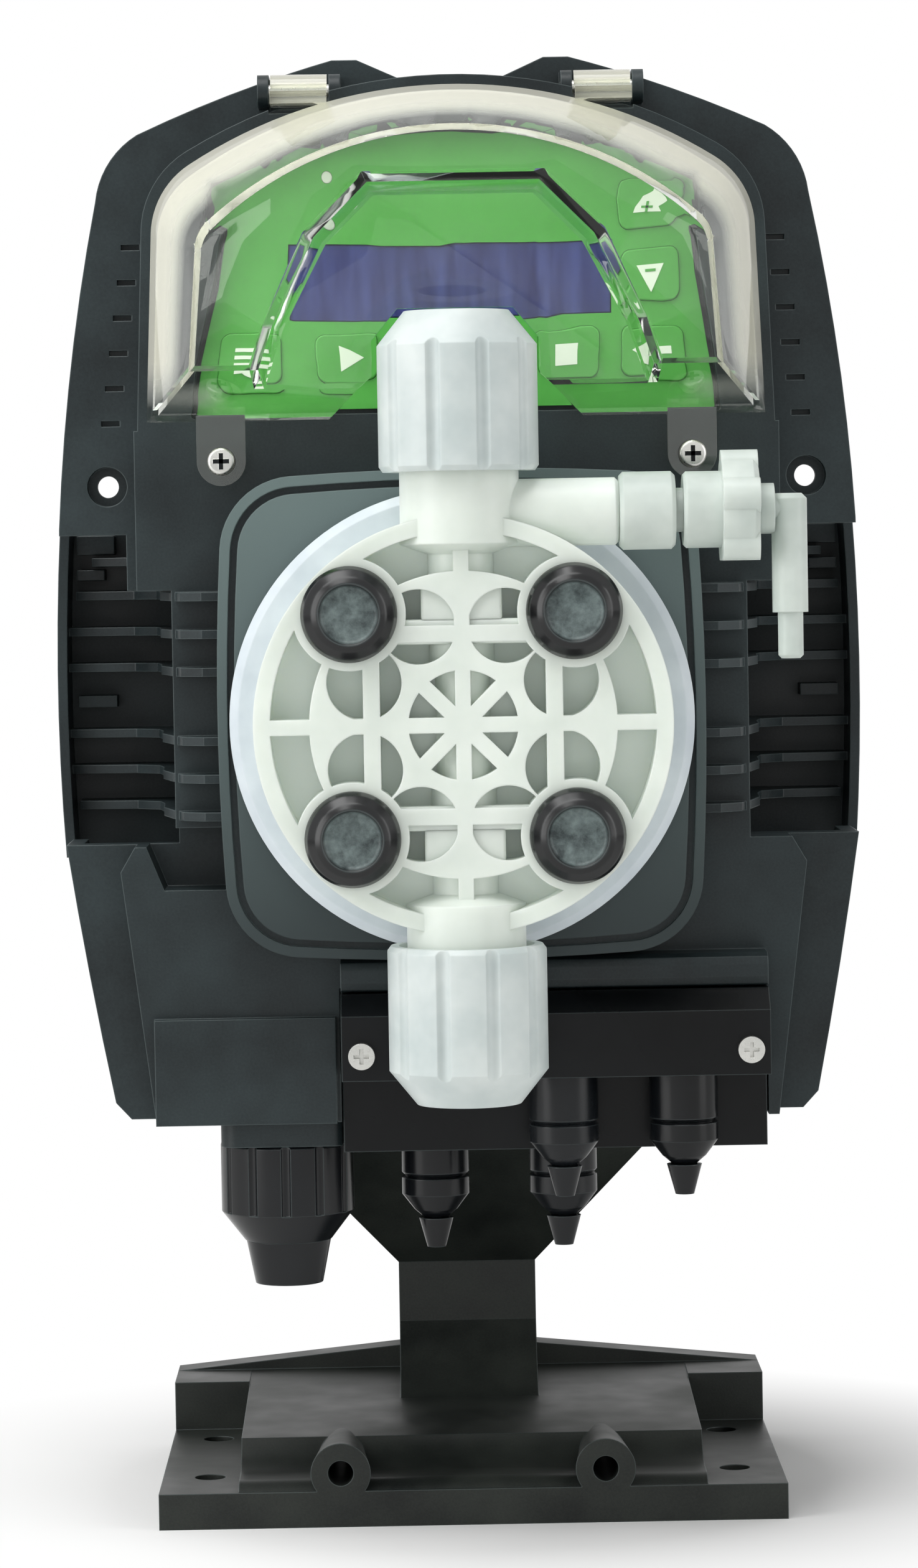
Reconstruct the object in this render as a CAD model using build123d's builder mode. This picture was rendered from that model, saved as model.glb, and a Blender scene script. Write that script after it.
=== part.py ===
from build123d import *
import os

# Electromagnetic diaphragm metering pump on its foot bracket, in millimetres.
# Origin: centre of the foot's underside.  +Z is up, +X to the pump's own left
# hand side as seen from the front, and the dosing head looks along -Y.
# Heights called "height" are measured from the dosing head's axis, and
# distances called "depth" run forward (towards -Y) from the shield's back face.

# ---------------------------------------------------------------- driving sizes
HEAD_Z = 135.0              # head axis above the foot's underside
DATUM_Y = -50.0             # back face of the shield
RUN_GAP = 0.05              # radial clearance of a running or seating fit
FREE_GAP = 0.3              # clearance between pieces that move past each other
WALL = 2.5                  # moulded casing wall

# Top edge of the clear cover; panel, hinge and casing heights follow it
COVER_TOP = 100.7

# Shield: the wide front frame of the casing
SHIELD_HALF = 65.0
SHIELD_TOP = COVER_TOP + 1.3
SHIELD_BOTTOM = -64.7
SHIELD_THICK = 5.0
HORN_X = 18.0
HORN_RISE = 3.6
SKIRT_WALL = 2.5
SEAM_DEPTH = -12.0          # joint face between front and rear housing
EAR_HOLE_X = 56.4
EAR_HOLE_HEIGHT = 37.8
EAR_HOLE_R = 1.75
EAR_BORE_R = 3.2
EAR_BORE_DEPTH = 2.5

# Casing body behind and within the shield
BODY_HALF = 46.0
BODY_TOP = COVER_TOP - 10.7
BODY_CORNER = 13.0
BODY_BACK = -90.0
BODY_DRAFT = 3.0            # degrees
FRONT_DEPTH = 14.0          # front face of the raised fascia
CAVITY_DEPTH = 8.5

# Cooling fins
FIN_HEIGHTS = (20.0, 14.0, 8.0, -3.0, -9.0, -15.0)
FIN_THICK = 1.4
FIN_REACH = 66.8            # tip of the fins nearest the head axis
FIN_BOW = 3.0               # how much shorter the outermost fins are
FIN_BOW_MID = 2.5
FIN_BAND_TOP = 30.0
FIN_BAND_BOTTOM = -20.0
FIN_WEB_DEPTH = -32.0       # front of the web that closes the fin band
FIN_WEB_THICK = 2.0
FIN_RAIL_THICK = 1.6
FIN_RAIL_DEPTH = -20.0

# Pad that carries the dosing head
PAD_HALF = 37.0
PAD_TOP = 38.0
PAD_BOTTOM = -36.5
PAD_BULGE = 1.6
PAD_CORNER = 12.0
PAD_DEPTH = 24.0
PAD_WALL = 4.0
PAD_GROOVE = 1.1

# Dosing head
HEAD_R = 32.2
HEAD_FRONT = 50.0
HEAD_BACK = 31.0
RIM_WALL = 2.6
POCKET_DEPTH = 6.5
MID_RING_OUT = 23.6
BOLT_PITCH = 34.4
BOLT_R = 2.5
BOLT_BOSS_R = 8.7
BOLT_COUNTERBORE_R = 4.6
BOLT_COUNTERBORE_DEPTH = 6.0
RIB = 2.4
CROSS_RIB_OUT = 15.3
CROSS_RIB_IN = 12.7
WINDOW_R = 5.75
WINDOW_OFFSET = 5.1
STAR_R = 8.4
PORT_DEPTH = 43.5
PORT_WEB_R = 5.0
PORT_BORE_R = 2.0
NECK_R = 9.2
CHAMBER_R = 15.0
CHAMBER_DEPTH = 3.0
CAP_R = 7.4
CAP_HIGH = 4.6

# Flange plate between pad and head
FLANGE_R = 36.5
DRAIN_R = 1.6

# Diaphragm and drive
DIAPHRAGM_R = 20.0
DIAPHRAGM_RIM = 2.0
DIAPHRAGM_WEB = 1.2
HUB_R = 8.0
HUB_LENGTH = 6.0
INSERT_R = 5.0
INSERT_THICK = 1.8
ROD_R = 3.0
STROKE = 1.25
PLUNGER_R = 9.0
PLUNGER_LENGTH = 52.0
PLUNGER_FRONT = 2.0
TUBE_WALL = 1.0
COIL_R = 20.0
COIL_FRONT = 14.0
COIL_BACK = -42.0
YOKE_PLATE = 6.0
YOKE_HALF = 25.5
YOKE_SIDE = 4.5
POLE_GAP = 0.05
SPRING_R = 4.4
SPRING_WIRE_R = 0.45
SPRING_TURNS = 5
SPRING_POCKET_R = 5.3
SPRING_POCKET_FRONT = 11.0
BUFFER_THICK = 2.0

# Valves and union nuts
NUT_R = 12.35
NUT_LENGTH = 24.6
NUT_TAPER = 5.3
NUT_TOP_R = 8.1
NUT_FLUTES = 10
NUT_FLUTE_R = 1.3
NUT_HOLE_R = 4.2
STUB_R = 10.4
STUB_LENGTH = 10.0
DISCHARGE_NUT = 38.8        # height where the upper nut starts
SUCTION_NUT = 34.1          # the same, below the axis
CARTRIDGE_R = 7.5
CARTRIDGE_LENGTH = 15.0
CARTRIDGE_LIP = 2.0
BALL_R = 2.5
BALL_LIFT = 1.0
SEAT_R = 4.4
SEAT_THICK = 2.0
SEAT_BORE_R = 1.7
SEAL_THICK = 1.0
NIPPLE_FLANGE = 2.5
NIPPLE_R = 2.0
HOSE_BORE_R = 1.2

# Bleed valve, on a horizontal axis to the right of the discharge port
BLEED_HEIGHT = 32.3
BLEED_STUB_R = 5.2
BLEED_STUB_END = 24.5
BLEED_COLLAR_R = 6.0
BLEED_COLLAR_END = 33.1
KNOB_START = 34.3
KNOB_HUB_R = 5.9
KNOB_STEP = 40.2
KNOB_END = 45.9
KNOB_R = 9.1
KNOB_LOBES = 5
KNOB_LOBE_R = 2.8
SPINDLE_R = 3.4
NEEDLE_R = 1.5
NEEDLE_PITCH = 1.0
ELBOW_COLLAR_R = 3.9
ELBOW_X = 50.7
ELBOW_R = 2.75
ELBOW_TOP = 2.3
ELBOW_DROP = 16.0
NOZZLE_R = 1.95
NOZZLE_DROP = 23.1

# Control panel
LABEL_HALF_BOTTOM = 41.4
LABEL_HALF_TOP = 37.8
LABEL_BOTTOM = 49.5
LABEL_CORNER = COVER_TOP - 16.5
LABEL_TOP = COVER_TOP - 7.4
LABEL_DEPTH = 11.0
LABEL_THICK = 0.8
LCD_WIDE = 51.6
LCD_HIGH = 11.8
LCD_X = -0.6
LCD_HEIGHT = COVER_TOP - 30.9
LCD_THICK = 3.0
KEY_WIDE = 10.0
KEY_HIGH = 7.8
KEY_CORNER = 1.6
KEY_PROUD = 0.5
KEY_BASE = 2.0
KEY_TRAVEL = 0.4
KEYS = {
    "key_plus": (31.5, COVER_TOP - 20.0),
    "key_minus": (31.5, COVER_TOP - 30.7),
    "key_program": (-32.8, LABEL_BOTTOM + 8.5),
    "key_start": (-17.4, LABEL_BOTTOM + 8.5),
    "key_select": (18.3, LABEL_BOTTOM + 8.5),
    "key_escape": (31.8, LABEL_BOTTOM + 8.5),
}
LED_X = -20.3
LED_HEIGHTS = (COVER_TOP - 14.4, COVER_TOP - 21.3)
LED_R = 0.9
BOARD_WIDE = 76.0
BOARD_HIGH = 34.0
BOARD_THICK = 1.6
BOARD_DEPTH = 5.6

# Clear cover
COVER_SEAT = FRONT_DEPTH + FREE_GAP
COVER_FRONT = 30.0
COVER_WALL = 2.0
COVER_BOTTOM = 47.8
COVER_HALF = 49.3
COVER_TUCK = 1.5            # how far the cover narrows up to its shoulders
COVER_SHOULDER = COVER_TOP - 16.3
COVER_CORNER = 13.5
RELIEF_DEPTH = 6.0
NOTCH_HALF = 13.3
HINGE_X = 24.2
HINGE_DEPTH = 9.4
HINGE_HEIGHT = COVER_TOP - FREE_GAP
KNUCKLE_R = 2.6
KNUCKLE_LONG = 9.0
PIN_R = 1.0
EAR_THICK = 1.8
TONGUE_X = 37.5
TONGUE_HALF = 3.9
TONGUE_HEIGHT = 41.4
TONGUE_THICK = 2.0
TONGUE_HOLE_R = 2.3
SCREW_R = 1.5
SCREW_HEAD_R = 3.0
TERM_SCREW_HEAD_R = 2.1

# Terminal box and cable glands
TERM_LEFT = -20.0
TERM_RIGHT = 48.0
TERM_TOP = -43.5
TERM_STEP = -57.0
TERM_BOTTOM = -69.6
TERM_SEAT = 9.0
TERM_FRONT = 26.0
TERM_LOW_FRONT = 14.0
TERM_SCREW_HEIGHT = -52.9
TERM_WALL = 2.2
SHELF_TOP = -38.0
SHELF_DEPTH = 22.0
GLAND_R = 5.5
GLAND_BODY = 7.5
GLAND_DOME = 5.8
GLAND_TIP = 6.2
GLAND_TIP_R = 2.1
GLAND_SHANK_R = 3.4
FRONT_GLANDS = (15.2, 34.3)
FRONT_GLAND_DEPTH = 19.6
REAR_GLANDS = (-5.4, 15.4)
REAR_GLAND_DEPTH = 2.0
REAR_GLAND_TOP = -67.2
POWER_X = -29.5
POWER_DEPTH = 2.0
POWER_FLANGE = 20.8
POWER_FLANGE_BOTTOM = -68.8
POWER_NUT_R = 10.8
POWER_NUT_LONG = 11.3
POWER_TAPER = 4.8
POWER_STEM_R = 6.9
POWER_STEM_END_R = 5.5
POWER_STEM_LONG = 7.1
POWER_BORE_R = 4.0

# Foot bracket
FOOT_WIDE = 104.5
FOOT_LONG = 80.0
FOOT_THICK = 6.0
FOOT_MID = 78.0             # raised middle between the bolt pads
FOOT_BACK_HIGH = 14.5
FOOT_GABLE_HIGH = 18.5
FOOT_WALL = 6.0
FOOT_RIB = 10.0             # rib between the two hollows underneath
FOOT_HOLLOW = 3.5
FOOT_BOLT_X = 88.5
FOOT_BOLT_Y = 36.5
FOOT_BOLT_FRONT = 15.0      # from the foot's front edge to the first holes
FOOT_HOLE_R = 2.6
BOSS_X = 44.0
BOSS_HIGH = 9.0
BOSS_R = 5.0
BOSS_LONG = 24.0
BOSS_DRAFT = 4.0            # degrees
BOSS_HOLE_R = 2.1
COLUMN_WIDE = 24.2
COLUMN_LONG = 20.0
COLUMN_WALL = 3.5
COLUMN_NECK = -99.5         # height where the column starts to flare
SADDLE_TOP = SHIELD_BOTTOM
SADDLE_THICK = 4.0
SADDLE_WIDE = 76.0
SADDLE_LONG = 46.0
SADDLE_SCREW_X = 56.0
SADDLE_SCREW_R = 2.2

BACK_Y = FOOT_LONG / 2      # rear plane shared by foot, column and casing


def front_plane(depth):
    """Plane facing forward; its own axes are X and height above the head axis."""
    return Plane(origin=(0, DATUM_Y - depth, HEAD_Z), x_dir=(1, 0, 0), z_dir=(0, -1, 0))


def level_plane(height):
    """Horizontal plane facing down; its own axes are X and depth."""
    return Plane(origin=(0, DATUM_Y, HEAD_Z + height), x_dir=(1, 0, 0), z_dir=(0, 0, -1))


def port_plane(x=0, depth=PORT_DEPTH, height=0):
    """Upright plane through a vertical or horizontal fluid axis."""
    return Plane(
        origin=(x, DATUM_Y - depth, HEAD_Z + height), x_dir=(1, 0, 0), z_dir=(0, -1, 0)
    )


def side_plane(x):
    """Upright plane seen from the side; its own axes are depth and height."""
    return Plane(origin=(x, DATUM_Y, HEAD_Z), x_dir=(0, -1, 0), z_dir=(-1, 0, 0))


DRIVE_AXIS = Axis((0, DATUM_Y, HEAD_Z), (0, -1, 0))
PORT_AXIS = Axis((0, DATUM_Y - PORT_DEPTH, HEAD_Z), (0, 0, 1))
BLEED_AXIS = Axis((0, DATUM_Y - PORT_DEPTH, HEAD_Z + BLEED_HEIGHT), (1, 0, 0))


def outline(plane, points):
    """Closed straight-sided face on a plane."""
    with BuildSketch(plane) as sketch:
        with BuildLine():
            Polyline(*points, close=True)
        make_face()
    return sketch.sketch


def finish(part, name):
    part.label = name
    export_step(part, f"parts/{name}.step")


os.makedirs("parts", exist_ok=True)


# ---------------------------------------------------------------- outlines
def shield_face(plane, inset=0.0):
    """Front frame outline: horned top, bowed sides, straight lower sides."""
    with BuildSketch(plane) as sketch:
        with BuildLine():
            top = Polyline(
                (0, SHIELD_TOP), (7, SHIELD_TOP), (HORN_X - 3, SHIELD_TOP + HORN_RISE),
                (HORN_X + 1, SHIELD_TOP + HORN_RISE),
            )
            brow = ThreePointArc(top @ 1, (37, SHIELD_TOP - 2.2), (50.5, SHIELD_TOP - 7.8))
            corner = ThreePointArc(
                brow @ 1, (55.3, SHIELD_TOP - 12.5), (SHIELD_HALF - 7.6, SHIELD_TOP - 18.5)
            )
            side = ThreePointArc(
                corner @ 1, (SHIELD_HALF - 3.2, 57.7), (SHIELD_HALF - 0.7, 31.0)
            )
            flank = Line(side @ 1, (SHIELD_HALF, -14.0))
            hip = ThreePointArc(
                flank @ 1, (SHIELD_HALF - 3.3, -36.0), (SHIELD_HALF - 8.0, SHIELD_BOTTOM + 2.7)
            )
            foot = Line(hip @ 1, (SHIELD_HALF - 10.5, SHIELD_BOTTOM))
            base = Line(foot @ 1, (0, SHIELD_BOTTOM))
            Line(base @ 1, top @ 0)
        make_face()
        mirror(about=Plane.YZ)
        if inset:
            offset(amount=-inset, mode=Mode.REPLACE)
    return sketch.sketch


def body_face(plane, inset=0.0):
    """Casing body outline, a tall rounded rectangle."""
    high = BODY_TOP - SHIELD_BOTTOM
    middle = (BODY_TOP + SHIELD_BOTTOM) / 2
    with BuildSketch(plane) as sketch:
        with Locations((0, middle)):
            RectangleRounded(
                2 * (BODY_HALF - inset), high - 2 * inset, BODY_CORNER - inset
            )
    return sketch.sketch


def arch_face(plane, grow=0.0, bottom=COVER_BOTTOM):
    """Outline shared by clear cover and raised fascia."""
    half = COVER_HALF + grow
    shoulder = (half - COVER_TUCK, COVER_SHOULDER + grow)
    with BuildSketch(plane) as sketch:
        with BuildLine():
            brow = ThreePointArc((-shoulder[0], shoulder[1]), (0, COVER_TOP + grow), shoulder)
            Polyline(brow @ 1, (half, bottom), (-half, bottom), brow @ 0)
        make_face()
        fillet(sketch.vertices().sort_by(Axis.Y)[-2:], COVER_CORNER + grow)
    return sketch.sketch


def pad_face(plane, grow=0.0):
    """Barrel-sided square of the head pad."""
    half = PAD_HALF + grow
    top = PAD_TOP + grow
    bottom = PAD_BOTTOM - grow
    with BuildSketch(plane) as sketch:
        with BuildLine():
            ThreePointArc((-half, top), (0, top + PAD_BULGE), (half, top))
            ThreePointArc((half, top), (half + PAD_BULGE, 0), (half, bottom))
            ThreePointArc((half, bottom), (0, bottom - PAD_BULGE), (-half, bottom))
            ThreePointArc((-half, bottom), (-half - PAD_BULGE, 0), (-half, top))
        make_face()
        fillet(sketch.vertices(), PAD_CORNER + grow)
    return sketch.sketch


# ---------------------------------------------------------------- front housing
FASCIA_GROW = 1.6
FASCIA_STEP = 46.0          # height where the waist meets the arched frame
FASCIA_WAIST = 51.5
FASCIA_HIP = 55.0
POWER_BLOCK_FRONT = 16.0
LID_CLEAR = 0.3
BAND_CUT = 40.0
NOTCHES = 6
RECESS_FLOOR = 3.0
FIN_RECESS = [(-52.0, -17.0), (-48.0, -27.0), (-36.2, -27.0), (-36.2, -17.0)]
RECESS_PAN = [(-44.5, -14.5), (-44.5, -29.5), (-33.7, -29.5), (-33.7, -14.5)]

with BuildPart() as front_housing:
    extrude(shield_face(front_plane(0)), amount=SHIELD_THICK)
    extrude(shield_face(front_plane(SEAM_DEPTH)), amount=-SEAM_DEPTH)
    extrude(
        shield_face(front_plane(SEAM_DEPTH), SKIRT_WALL), amount=-SEAM_DEPTH, mode=Mode.SUBTRACT
    )
    extrude(body_face(front_plane(SEAM_DEPTH)), amount=-SEAM_DEPTH)
    # raised fascia: arched window frame above, narrower waist, lower apron
    extrude(
        arch_face(front_plane(SHIELD_THICK), FASCIA_GROW, bottom=FASCIA_STEP),
        amount=FRONT_DEPTH - SHIELD_THICK,
    )
    apron = [
        (-FASCIA_WAIST, FASCIA_STEP + 0.5), (FASCIA_WAIST, FASCIA_STEP + 0.5), (FASCIA_WAIST, -18.0),
        (FASCIA_HIP, -24.0), (FASCIA_HIP - 5, SHIELD_BOTTOM), (-FASCIA_HIP + 5, SHIELD_BOTTOM),
        (-FASCIA_HIP, -24.0), (-FASCIA_WAIST, -18.0),
    ]
    extrude(outline(front_plane(SHIELD_THICK), apron), amount=FRONT_DEPTH - SHIELD_THICK)
    # gap in the shield where the fins pass, lower beside the fascia than outside it
    for edge, top in ((BODY_HALF, FIN_HEIGHTS[0] + 1), (FASCIA_WAIST + 2, FIN_BAND_TOP)):
        for side in (-1, 1):
            with BuildSketch(front_plane(SEAM_DEPTH - 1)):
                with Locations((side * (edge + BAND_CUT / 2), (top + FIN_BAND_BOTTOM) / 2)):
                    Rectangle(BAND_CUT, top - FIN_BAND_BOTTOM)
            extrude(amount=FRONT_DEPTH - SEAM_DEPTH + 2, mode=Mode.SUBTRACT)
    # head pad with its locating groove
    extrude(pad_face(front_plane(FRONT_DEPTH)), amount=PAD_DEPTH - FRONT_DEPTH)
    # fins between pad and body side
    fin_front = [
        (PAD_HALF - 2, FRONT_DEPTH - 6), (PAD_HALF - 2, PAD_DEPTH - 4), (PAD_HALF + 4, PAD_DEPTH - 4),
        (PAD_HALF + 7.5, PAD_DEPTH - 7), (BODY_HALF + 0.5, FRONT_DEPTH - 4),
        (BODY_HALF + 2.5, 0), (BODY_HALF + 3, SEAM_DEPTH), (BODY_HALF - 1, SEAM_DEPTH),
        (BODY_HALF - 1, FRONT_DEPTH - 6),
    ]
    for height in FIN_HEIGHTS:
        extrude(outline(level_plane(height), fin_front), amount=FIN_THICK / 2, both=True)
        mirrored_fin = [(-x, depth) for x, depth in fin_front]
        extrude(outline(level_plane(height), mirrored_fin), amount=FIN_THICK / 2, both=True)
    # terminal shelf with a rolled front, block over the power gland, gland seats on the underside
    shelf_profile = [
        (FRONT_DEPTH - 1, SHELF_TOP), (SHELF_DEPTH - 1.6, SHELF_TOP), (SHELF_DEPTH - 0.4, SHELF_TOP - 0.6),
        (SHELF_DEPTH, SHELF_TOP - 1.8), (SHELF_DEPTH, TERM_TOP + 1.8), (SHELF_DEPTH - 0.4, TERM_TOP + 0.6),
        (SHELF_DEPTH - 1.6, TERM_TOP), (FRONT_DEPTH - 1, TERM_TOP),
    ]
    extrude(
        outline(side_plane((TERM_LEFT + TERM_RIGHT) / 2), shelf_profile),
        amount=(TERM_RIGHT - TERM_LEFT) / 2, both=True,
    )
    with BuildSketch(front_plane(FRONT_DEPTH)):
        with Locations(((TERM_LEFT - 1 - FASCIA_HIP + 5) / 2, (SHIELD_BOTTOM - 47.7) / 2)):
            Rectangle(FASCIA_HIP - 5 + TERM_LEFT - 1, -47.7 - SHIELD_BOTTOM)
    extrude(amount=POWER_BLOCK_FRONT - FRONT_DEPTH)
    with BuildSketch(level_plane(SHIELD_BOTTOM)):
        with Locations((POWER_X, POWER_DEPTH)):
            RectangleRounded(POWER_FLANGE, POWER_FLANGE, 3)
    extrude(amount=SHIELD_BOTTOM - POWER_FLANGE_BOTTOM)
    with BuildSketch(level_plane(SHIELD_BOTTOM)):
        with Locations((sum(REAR_GLANDS) / 2, REAR_GLAND_DEPTH)):
            RectangleRounded(REAR_GLANDS[1] - REAR_GLANDS[0] + 2 * GLAND_R + 1, 2 * GLAND_R + 1, 2)
    extrude(amount=SHIELD_BOTTOM - REAR_GLAND_TOP)
    # hinge ears on the shield's brow
    for side in (-1, 1):
        for edge in (-1, 1):
            ear_x = side * HINGE_X + edge * (KNUCKLE_LONG / 2 + FREE_GAP + EAR_THICK / 2)
            with BuildSketch(side_plane(ear_x)):
                with Locations((HINGE_DEPTH, HINGE_HEIGHT)):
                    Circle(KNUCKLE_R)
                with Locations((HINGE_DEPTH / 2 + SHIELD_THICK / 2 - 1, HINGE_HEIGHT)):
                    Rectangle(HINGE_DEPTH - SHIELD_THICK + 2, 2 * KNUCKLE_R)
            extrude(amount=EAR_THICK / 2, both=True)
    # ---- cuts
    for side in (-1, 1):
        with BuildSketch(side_plane(side * HINGE_X)):
            with Locations((HINGE_DEPTH, HINGE_HEIGHT)):
                Circle(KNUCKLE_R + FREE_GAP)
            with Locations((HINGE_DEPTH + 5, HINGE_HEIGHT - 0.5)):
                Rectangle(10, 2 * KNUCKLE_R + 2 * FREE_GAP + 1)
        extrude(amount=KNUCKLE_LONG / 2 + FREE_GAP, both=True, mode=Mode.SUBTRACT)
        with BuildSketch(side_plane(side * HINGE_X)):
            with Locations((HINGE_DEPTH, HINGE_HEIGHT)):
                Circle(PIN_R + RUN_GAP)
        extrude(amount=KNUCKLE_LONG / 2 + 4, both=True, mode=Mode.SUBTRACT)
    # inner cavity, solenoid pocket and drive bore
    extrude(
        body_face(front_plane(SEAM_DEPTH), WALL),
        amount=CAVITY_DEPTH - SEAM_DEPTH, mode=Mode.SUBTRACT,
    )
    with BuildSketch(front_plane(CAVITY_DEPTH)):
        RectangleRounded(2 * YOKE_HALF + 1, 2 * YOKE_HALF + 1, 5)
    extrude(amount=PAD_DEPTH - PAD_WALL - CAVITY_DEPTH, mode=Mode.SUBTRACT)
    with BuildSketch(front_plane(PAD_DEPTH - PAD_WALL)):
        Circle(HUB_R + 1)
        with GridLocations(BOLT_PITCH, BOLT_PITCH, 2, 2):
            Circle(BOLT_R + 0.25)
    extrude(amount=PAD_WALL, mode=Mode.SUBTRACT)
    # groove around the pad face
    groove = pad_face(front_plane(PAD_DEPTH), -1.6) - pad_face(front_plane(PAD_DEPTH), -1.6 - PAD_GROOVE)
    extrude(groove, amount=-1.0, mode=Mode.SUBTRACT)
    # panel recess, display window, key pockets and lamp holes
    with BuildSketch(front_plane(FRONT_DEPTH)):
        with BuildLine():
            Line((-LABEL_HALF_TOP, LABEL_CORNER), (-LABEL_HALF_BOTTOM, LABEL_BOTTOM))
            Line((-LABEL_HALF_BOTTOM, LABEL_BOTTOM), (LABEL_HALF_BOTTOM, LABEL_BOTTOM))
            Line((LABEL_HALF_BOTTOM, LABEL_BOTTOM), (LABEL_HALF_TOP, LABEL_CORNER))
            ThreePointArc(
                (LABEL_HALF_TOP, LABEL_CORNER), (0, LABEL_TOP), (-LABEL_HALF_TOP, LABEL_CORNER)
            )
        make_face()
        offset(amount=0.8)
    extrude(amount=LABEL_DEPTH - FRONT_DEPTH, mode=Mode.SUBTRACT)
    with BuildSketch(front_plane(LABEL_DEPTH)):
        with Locations((LCD_X, LCD_HEIGHT)):
            Rectangle(LCD_WIDE + 3, LCD_HIGH + 3)
        for x, height in KEYS.values():
            with Locations((x, height)):
                RectangleRounded(KEY_WIDE + 1, KEY_HIGH + 1, KEY_CORNER)
        with Locations(*[(LED_X, height) for height in LED_HEIGHTS]):
            Circle(LED_R + RUN_GAP)
    extrude(amount=-LABEL_DEPTH, mode=Mode.SUBTRACT)
    # seat for the terminal cover and the compartment behind it
    with BuildSketch(front_plane(TERM_SEAT)):
        with Locations(((TERM_LEFT + TERM_RIGHT) / 2, (TERM_TOP + LID_CLEAR + SHIELD_BOTTOM - 5) / 2)):
            Rectangle(
                TERM_RIGHT - TERM_LEFT + 2 * LID_CLEAR, TERM_TOP + LID_CLEAR - SHIELD_BOTTOM + 5
            )
    extrude(amount=SHELF_DEPTH, mode=Mode.SUBTRACT)
    with BuildSketch(front_plane(TERM_SEAT)):
        with Locations(((TERM_LEFT + TERM_RIGHT) / 2 - 3, (TERM_TOP + SHIELD_BOTTOM) / 2)):
            Rectangle(TERM_RIGHT - TERM_LEFT - 16, TERM_TOP - SHIELD_BOTTOM - 7)
    extrude(amount=-WALL, mode=Mode.SUBTRACT)
    with BuildSketch(front_plane(TERM_SEAT)):
        with Locations((TERM_LEFT + 3.2, TERM_SCREW_HEIGHT), (TERM_RIGHT - 3.2, TERM_SCREW_HEIGHT)):
            Circle(SCREW_R - 0.1)
    extrude(amount=-6, mode=Mode.SUBTRACT)
    # gland bores through the underside
    with BuildSketch(level_plane(POWER_FLANGE_BOTTOM)):
        with Locations((POWER_X, POWER_DEPTH)):
            Circle(POWER_STEM_R + RUN_GAP)
    extrude(amount=-8, mode=Mode.SUBTRACT)
    with BuildSketch(level_plane(REAR_GLAND_TOP)):
        with Locations(*[(x, REAR_GLAND_DEPTH) for x in REAR_GLANDS]):
            Circle(GLAND_SHANK_R + RUN_GAP)
    extrude(amount=-7, mode=Mode.SUBTRACT)
    # fixing ears: counterbored through holes
    for side in (-1, 1):
        with BuildSketch(front_plane(-1)):
            with Locations((side * EAR_HOLE_X, EAR_HOLE_HEIGHT)):
                Circle(EAR_HOLE_R)
        extrude(amount=FRONT_DEPTH + 2, mode=Mode.SUBTRACT)
        with BuildSketch(front_plane(SHIELD_THICK - EAR_BORE_DEPTH)):
            with Locations((side * EAR_HOLE_X, EAR_HOLE_HEIGHT)):
                Circle(EAR_BORE_R)
        extrude(amount=FRONT_DEPTH, mode=Mode.SUBTRACT)
    # holes for the cover's captive screws
    with BuildSketch(front_plane(FRONT_DEPTH)):
        with Locations((-TONGUE_X, TONGUE_HEIGHT), (TONGUE_X, TONGUE_HEIGHT)):
            Circle(SCREW_R + 0.8)
    extrude(amount=-5, mode=Mode.SUBTRACT)
    # blind recess below the lowest left fin, with its own floor inside the casing
    extrude(outline(front_plane(RECESS_FLOOR - WALL), RECESS_PAN), amount=CAVITY_DEPTH - RECESS_FLOOR + WALL)
    extrude(outline(front_plane(RECESS_FLOOR), FIN_RECESS), amount=FRONT_DEPTH, mode=Mode.SUBTRACT)
    # notches along the seam between fascia and shield
    for step in range(NOTCHES):
        notch_height = COVER_TOP - 24.5 - 5.65 * step
        notch_x = FASCIA_WAIST + 0.4 + 0.75 * step
        with BuildSketch(front_plane(SHIELD_THICK)):
            with Locations((-notch_x, notch_height), (notch_x, notch_height)):
                Rectangle(3.0, 0.9)
        extrude(amount=-1.2, mode=Mode.SUBTRACT)
finish(front_housing.part, "front_housing")

# ---------------------------------------------------------------- rear housing
FIN_WEB_TOP = FIN_BAND_TOP + 1.3
FIN_WEB_BOTTOM = FIN_BAND_BOTTOM - 3.5
FIN_WEB_BULGE = 0.9
BAND_BLOCK_HIGH = 5.0
SHORT_FIN = (25.6, 61.0)    # height and reach of the short fin above the others
BAND_BLOCKS = [             # (inner x, outer x, low, high) of the blocks between the fins
    (57.4, 63.6, 26.9, 30.0), (59.1, 63.7, 22.6, 24.3), (57.4, 63.8, 1.3, 3.2),
]


def rear_fin(reach):
    """Half of a cooling fin behind the seam, for the positive side."""
    return [
        (BODY_HALF - 2, SEAM_DEPTH), (BODY_HALF + 3, SEAM_DEPTH), (BODY_HALF + 4, SEAM_DEPTH - 7),
        (BODY_HALF + 8, SEAM_DEPTH - 11), (reach, SEAM_DEPTH - 13), (reach, SEAM_DEPTH - 58),
        (reach - 4, SEAM_DEPTH - 64), (BODY_HALF - 4, SEAM_DEPTH - 68),
    ]


def band_web(plane, inner, shift=0.0):
    """Bowed panel that closes the fin band behind the fins' front edges."""
    outer = FIN_REACH - FIN_WEB_BULGE - shift
    middle = (FIN_WEB_TOP + FIN_WEB_BOTTOM) / 2
    with BuildSketch(plane) as sketch:
        with BuildLine():
            edge = ThreePointArc(
                (outer, FIN_WEB_BOTTOM), (outer + FIN_WEB_BULGE, middle), (outer, FIN_WEB_TOP)
            )
            Polyline(edge @ 1, (inner, FIN_WEB_TOP), (inner, FIN_WEB_BOTTOM), edge @ 0)
        make_face()
    return sketch.sketch


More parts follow.
